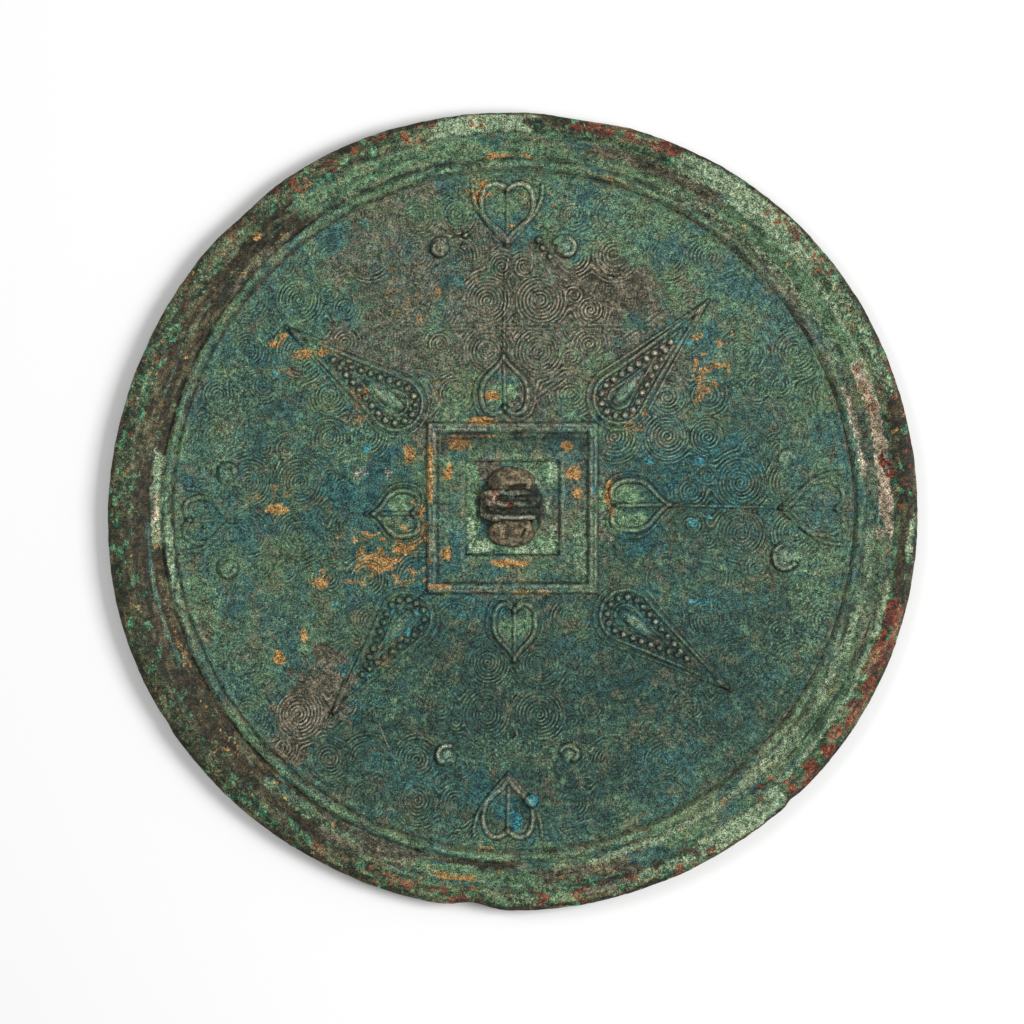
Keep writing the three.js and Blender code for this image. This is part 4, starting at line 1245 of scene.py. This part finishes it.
def new_group(name, inputs, outputs):
    """A node group with the named sockets; gives its nodes, its input and its output node."""
    tree = bpy.data.node_groups.new(name, "ShaderNodeTree")
    for socket, kind, value in inputs:
        made = tree.interface.new_socket(socket, in_out="INPUT", socket_type="NodeSocket" + kind)
        if value is not None:
            made.default_value = value
    for socket, kind in outputs:
        tree.interface.new_socket(socket, in_out="OUTPUT", socket_type="NodeSocket" + kind)
    nodes = Nodes(tree)
    return tree, nodes, nodes.add("NodeGroupInput").outputs, nodes.add("NodeGroupOutput").inputs


def stain_group():
    """Lays one corrosion product over a colour: its cover is broken into specks at its edge."""
    tree, n, given, result = new_group(
        "Stain",
        [("Under", "Color", (0.1, 0.1, 0.1, 1)), ("Light", "Color", (1, 1, 1, 1)),
         ("Dark", "Color", (0, 0, 0, 1)), ("Cover", "Float", 0.0), ("Break", "Float", 0.5),
         ("Place", "Vector", None)],
        [("Color", "Color"), ("Cover", "Float")],
    )
    speck = n.noise(given["Place"], 0.0008, 3.0, 0.75)
    wide = n.noise(given["Place"], 0.0026, 3.0, 0.65)
    broken = n.math("MULTIPLY", n.math("SUBTRACT", speck, 0.5), given["Break"])
    edge = n.math("ADD", given["Cover"], n.math("MULTIPLY", broken, 3.4))
    lift = n.math("MULTIPLY", given["Cover"], 2.2, clamp=True)
    cover = n.math("MULTIPLY", n.ramp(edge, 0.25, 0.7), lift)
    mixed = n.math("ADD", n.math("MULTIPLY", wide, 0.55), n.math("MULTIPLY", speck, 0.45))
    product = n.mix(n.ramp(mixed, 0.41, 0.59), given["Dark"], given["Light"])
    n.link(n.mix(cover, given["Under"], product), result["Color"])
    n.link(cover, result["Cover"])
    return tree


def grain_group():
    """The fine sugary grain of a corroded skin: a multiplier for colour and a height."""
    tree, n, given, result = new_group(
        "Corroded grain",
        [("Place", "Vector", None), ("Strength", "Float", 0.5)],
        [("Shade", "Color"), ("Height", "Float")],
    )
    fine = n.noise(given["Place"], 0.00028, 2.0, 0.8)
    coarse = n.noise(given["Place"], 0.0011, 3.0, 0.65)
    height = n.math("ADD", n.math("MULTIPLY", fine, 0.68), n.math("MULTIPLY", coarse, 0.32))
    swing = n.math("MULTIPLY", n.math("SUBTRACT", height, 0.5), given["Strength"])
    level = n.math("MAXIMUM", n.math("MULTIPLY_ADD", swing, 10.0, 1.0), 0.12)
    glint = n.math("MULTIPLY", n.ramp(fine, 0.62, 0.78), given["Strength"])
    level = n.math("MULTIPLY_ADD", glint, 1.6, level)
    tint = n.math("SUBTRACT", n.noise(given["Place"], 0.0015, 3.0, 0.7), 0.5)
    shade = n.add("ShaderNodeCombineColor")
    n.link(n.math("MULTIPLY", level, n.math("MULTIPLY_ADD", tint, 0.7, 1.0)), shade.inputs[0])
    n.link(level, shade.inputs[1])
    n.link(n.math("MULTIPLY", level, n.math("MULTIPLY_ADD", tint, -0.35, 1.0)), shade.inputs[2])
    n.link(shade.outputs[0], result["Shade"])
    n.link(height, result["Height"])
    return tree


def new_material(name):
    material = bpy.data.materials.new(name)
    material.use_nodes = True
    nodes = Nodes(material.node_tree)
    shader = material.node_tree.nodes["Principled BSDF"]
    place = nodes.add("ShaderNodeTexCoord").outputs["Object"]
    return material, nodes, shader, place


def roughen(n, shader, height, strength, distance):
    """Gives a surface the fine relief of its grain; the distance is in metres."""
    bump = n.add("ShaderNodeBump")
    bump.inputs["Strength"].default_value = strength
    bump.inputs["Distance"].default_value = distance
    n.link(height, bump.inputs["Height"])
    n.link(bump.outputs["Normal"], shader.inputs["Normal"])


def patinated_bronze(stain, grain):
    """The back: green verdigris under azurite, earth, rust and crusts, worn to metal, with painted
    shade in its hollows and painted highlight on its crests.
    """
    material, n, shader, place = new_material("patinated bronze")
    clouds = n.noise(place, 0.012, 5.0, 0.6, 0.4)
    mottle = n.noise(place, 0.003, 4.0, 0.7)
    tint = n.noise(place, 0.0045, 5.0, 0.72)
    base = n.mix(n.ramp(clouds, 0.38, 0.62), colour(54, 88, 84), colour(82, 106, 76))
    base = n.mix(n.attribute("deep_green"), base, colour(42, 70, 61))
    base = n.mix(n.ramp(mottle, 0.5, 0.7, 0.0, 0.5), base, colour(104, 138, 106))
    base = n.mix(n.ramp(mottle, 0.3, 0.5, 0.5, 0.0), base, colour(38, 56, 48))
    base = n.mix(n.ramp(tint, 0.51, 0.64, 0.0, 0.6), base, colour(98, 90, 68))
    base = n.mix(n.ramp(tint, 0.34, 0.48, 0.42, 0.0), base, colour(44, 92, 96))
    shade = n.math("MULTIPLY", n.attribute("deep_green"), 0.24)
    base = n.mix(shade, base, colour(18, 30, 28))
    layers = [
        ("lip", colour(82, 102, 70), colour(34, 50, 36), 0.9),
        ("dark_crust", colour(66, 56, 38), colour(26, 28, 20), 0.6),
        ("dull_metal", colour(103, 98, 82), colour(58, 59, 47), 0.7),
        ("azurite", colour(50, 95, 92), colour(26, 63, 65), 0.7),
        ("malachite", colour(101, 129, 96), colour(66, 94, 70), 0.6),
        ("vivid_green", colour(82, 136, 98), colour(32, 84, 62), 0.8),
        ("pale_crust", colour(142, 160, 130), colour(106, 130, 100), 0.45),
        ("bare_metal", colour(196, 178, 154), colour(130, 116, 96), 0.6),
        ("rust", colour(128, 66, 44), colour(70, 33, 28), 0.9),
        ("earth", colour(162, 126, 77), colour(134, 102, 60), 0.5),
        ("bright_blue", colour(66, 134, 138), colour(30, 88, 98), 0.8),
    ]
    covers = {}
    for name, light, dark, broken in layers:
        cover = n.attribute(name)
        out = n.group(stain, Under=base, Light=light, Dark=dark, Cover=cover, Break=broken,
                      Place=place)
        base, covers[name] = out["Color"], out["Cover"]
    streak = n.math("MULTIPLY", n.attribute("streak"), 0.55)
    base = n.mix(n.math("MAXIMUM", streak, 0.0), base, colour(124, 126, 94))
    base = n.mix(n.math("MAXIMUM", n.math("MULTIPLY", streak, -1.4), 0.0), base,
                 colour(34, 40, 30))
    # Darker in the hollows and lighter on the crests of the relief: dirt and wear, with painted shade
    # and painted highlight.
    tone = n.attribute("tone")
    hollow_dirt_and_shade = n.ramp(tone, -0.05, -1.1)
    crest = n.ramp(tone, 0.15, 1.1)
    worn_and_lit_crest = n.mix(covers["dull_metal"], colour(128, 150, 122), colour(176, 166, 142))
    base = n.mix(n.math("MULTIPLY", hollow_dirt_and_shade, 0.82), base, colour(24, 32, 26))
    base = n.mix(n.math("MULTIPLY", crest, 0.5), base, worn_and_lit_crest)
    # Polish and painted highlight: lightened towards pale beige.
    shine = n.attribute("shine")
    base = n.mix(n.math("MULTIPLY", shine, 0.75, clamp=True), base, colour(182, 174, 152))
    skin = n.group(grain, Place=place, Strength=1.3)
    base = n.mix(1.0, base, skin["Shade"], "MULTIPLY")
    n.link(base, shader.inputs["Base Color"])
    metal = n.math("MAXIMUM", covers["bare_metal"], n.math("MULTIPLY", covers["dull_metal"], 0.5))
    n.link(n.math("MULTIPLY", metal, 0.35), shader.inputs["Metallic"])
    dry = n.math("MAXIMUM", covers["earth"], n.math("MULTIPLY", covers["pale_crust"], 0.6))
    matt = n.math("MULTIPLY_ADD", n.noise(place, 0.002, 3.0), 0.22, 0.48)
    shiny = n.math("MULTIPLY", n.math("ADD", shine, metal), 0.16)
    rough_value = n.math("SUBTRACT", n.math("MULTIPLY_ADD", dry, 0.25, matt), shiny, clamp=True)
    n.link(rough_value, shader.inputs["Roughness"])
    roughen(n, shader, skin["Height"], strength=0.7, distance=0.0002)
    shader.inputs["Specular IOR Level"].default_value = 0.22
    return material


def polished_face_finish(stain, grain):
    """The face: once polished white bronze, now dark, with patina creeping in from the edge."""
    material, n, shader, place = new_material("tarnished polished bronze")
    clouds = n.noise(place, 0.02, 5.0, 0.55, 0.5)
    base = n.mix(n.ramp(clouds, 0.4, 0.62), colour(72, 74, 62), colour(112, 110, 92))
    cover = n.attribute("patina")
    green = n.group(stain, Under=base, Light=colour(78, 98, 74), Dark=colour(46, 62, 50),
                    Cover=cover, Break=0.9, Place=place)
    blue_spots = n.ramp(n.noise(place, 0.007, 4.0, 0.6), 0.6, 0.72)
    blue = n.group(stain, Under=green["Color"], Light=colour(62, 94, 92),
                   Dark=colour(42, 70, 70), Cover=blue_spots, Break=0.6, Place=place)
    edge = n.group(stain, Under=blue["Color"], Light=colour(110, 100, 76),
                   Dark=colour(66, 56, 42), Cover=n.attribute("edge"), Break=0.7, Place=place)
    skin = n.group(grain, Place=place, Strength=0.75)
    base = n.mix(1.0, edge["Color"], skin["Shade"], "MULTIPLY")
    n.link(base, shader.inputs["Base Color"])
    covered = n.math("MAXIMUM", green["Cover"], edge["Cover"])
    n.link(n.math("MULTIPLY_ADD", covered, -0.75, 0.85), shader.inputs["Metallic"])
    scratches = n.noise(place, 0.0016, 2.0, 0.5)
    polish = n.math("MULTIPLY_ADD", scratches, 0.18, 0.2)
    n.link(n.math("MULTIPLY_ADD", covered, 0.38, polish), shader.inputs["Roughness"])
    height = n.math("MULTIPLY", skin["Height"], covered)
    roughen(n, shader, height, strength=0.35, distance=0.00015)
    return material


def packed_earth(stain, grain):
    """Hardened earth, rusty in spots, with painted shade in its clefts and round its foot."""
    material, n, shader, place = new_material("packed earth")
    clods = n.noise(place, 0.0022, 5.0, 0.65)
    base = n.mix(n.ramp(clods, 0.38, 0.64), colour(68, 62, 47), colour(122, 112, 86))
    spots = n.ramp(n.noise(place, 0.0026, 3.0), 0.58, 0.7)
    rusty = n.group(stain, Under=base, Light=colour(128, 92, 68), Dark=colour(84, 56, 44),
                    Cover=spots, Break=0.5, Place=place)
    skin = n.group(grain, Place=place, Strength=1.0)
    earth = n.mix(n.math("MULTIPLY", n.attribute("shaded_hollow"), 0.85), rusty["Color"],
                  colour(16, 14, 10))
    n.link(n.mix(1.0, earth, skin["Shade"], "MULTIPLY"), shader.inputs["Base Color"])
    n.link(n.math("MULTIPLY_ADD", clods, 0.2, 0.75), shader.inputs["Roughness"])
    roughen(n, shader, skin["Height"], strength=0.8, distance=0.0003)
    return material


# ---- room, light and camera ------------------------------------------------------------------------
# In metres and watts.
FLOOR_SIZE = 1.6
PAPER_WHITE = 0.9
SKY_STRENGTH = 0.4
CAMERA_HEIGHT = 1.2
FRAME_WIDTH = 0.25369  # how much the camera sees at the height of the rim
SENSOR_WIDTH = 36
# Square lamps that face the middle of the mirror: name, place, size, power.
LAMPS = [("key", (0.75, 0.02, 0.8), 0.5, 10.5), ("fill", (-0.6, 0.3, 0.8), 0.5, 2.6)]


def area_light(name, place, size, power):
    data = bpy.data.lights.new(name, "AREA")
    data.size = size
    data.energy = power
    light = bpy.data.objects.new(name, data)
    bpy.context.scene.collection.objects.link(light)
    light.location = place
    x, y, z = place
    spin = math.atan2(-y, -x) - math.pi / 2
    light.rotation_euler = (math.atan2(math.hypot(x, y), z), 0, spin)


def studio():
    """White paper, a pale sky, two lamps and a camera that looks straight down."""
    scene = bpy.context.scene
    scene.view_settings.view_transform = "Standard"
    mesh = bpy.data.meshes.new("floor")
    half = FLOOR_SIZE / 2
    mesh.from_pydata([(-half, -half, 0), (half, -half, 0), (half, half, 0), (-half, half, 0)], [],
                     [(0, 1, 2, 3)])
    floor = bpy.data.objects.new("floor", mesh)
    scene.collection.objects.link(floor)
    paper = bpy.data.materials.new("white paper")
    paper.use_nodes = True
    paper_shader = paper.node_tree.nodes["Principled BSDF"]
    paper_shader.inputs["Base Color"].default_value = (PAPER_WHITE, PAPER_WHITE, PAPER_WHITE, 1)
    paper_shader.inputs["Roughness"].default_value = 0.9
    mesh.materials.append(paper)

    world = bpy.data.worlds.new("studio")
    world.use_nodes = True
    scene.world = world
    sky = world.node_tree.nodes["Background"]
    sky.inputs["Color"].default_value = (1, 1, 1, 1)
    sky.inputs["Strength"].default_value = SKY_STRENGTH
    for lamp in LAMPS:
        area_light(*lamp)

    camera_data = bpy.data.cameras.new("camera")
    camera_data.sensor_width = SENSOR_WIDTH
    camera_data.lens = SENSOR_WIDTH * (CAMERA_HEIGHT - RIM_Z * MM) / FRAME_WIDTH
    camera = bpy.data.objects.new("camera", camera_data)
    scene.collection.objects.link(camera)
    camera.location = (-0.00025, -0.00025, CAMERA_HEIGHT)
    scene.camera = camera


studio()
stain_nodes, grain_nodes = stain_group(), grain_group()
bronze = patinated_bronze(stain_nodes, grain_nodes)
soil = packed_earth(stain_nodes, grain_nodes)
back_pieces(bronze)
rim_piece(bronze)
face_piece(polished_face_finish(stain_nodes, grain_nodes))
knob_strap(bronze)
for lump in EARTH_LUMPS:
    earth_lump(*lump, soil)
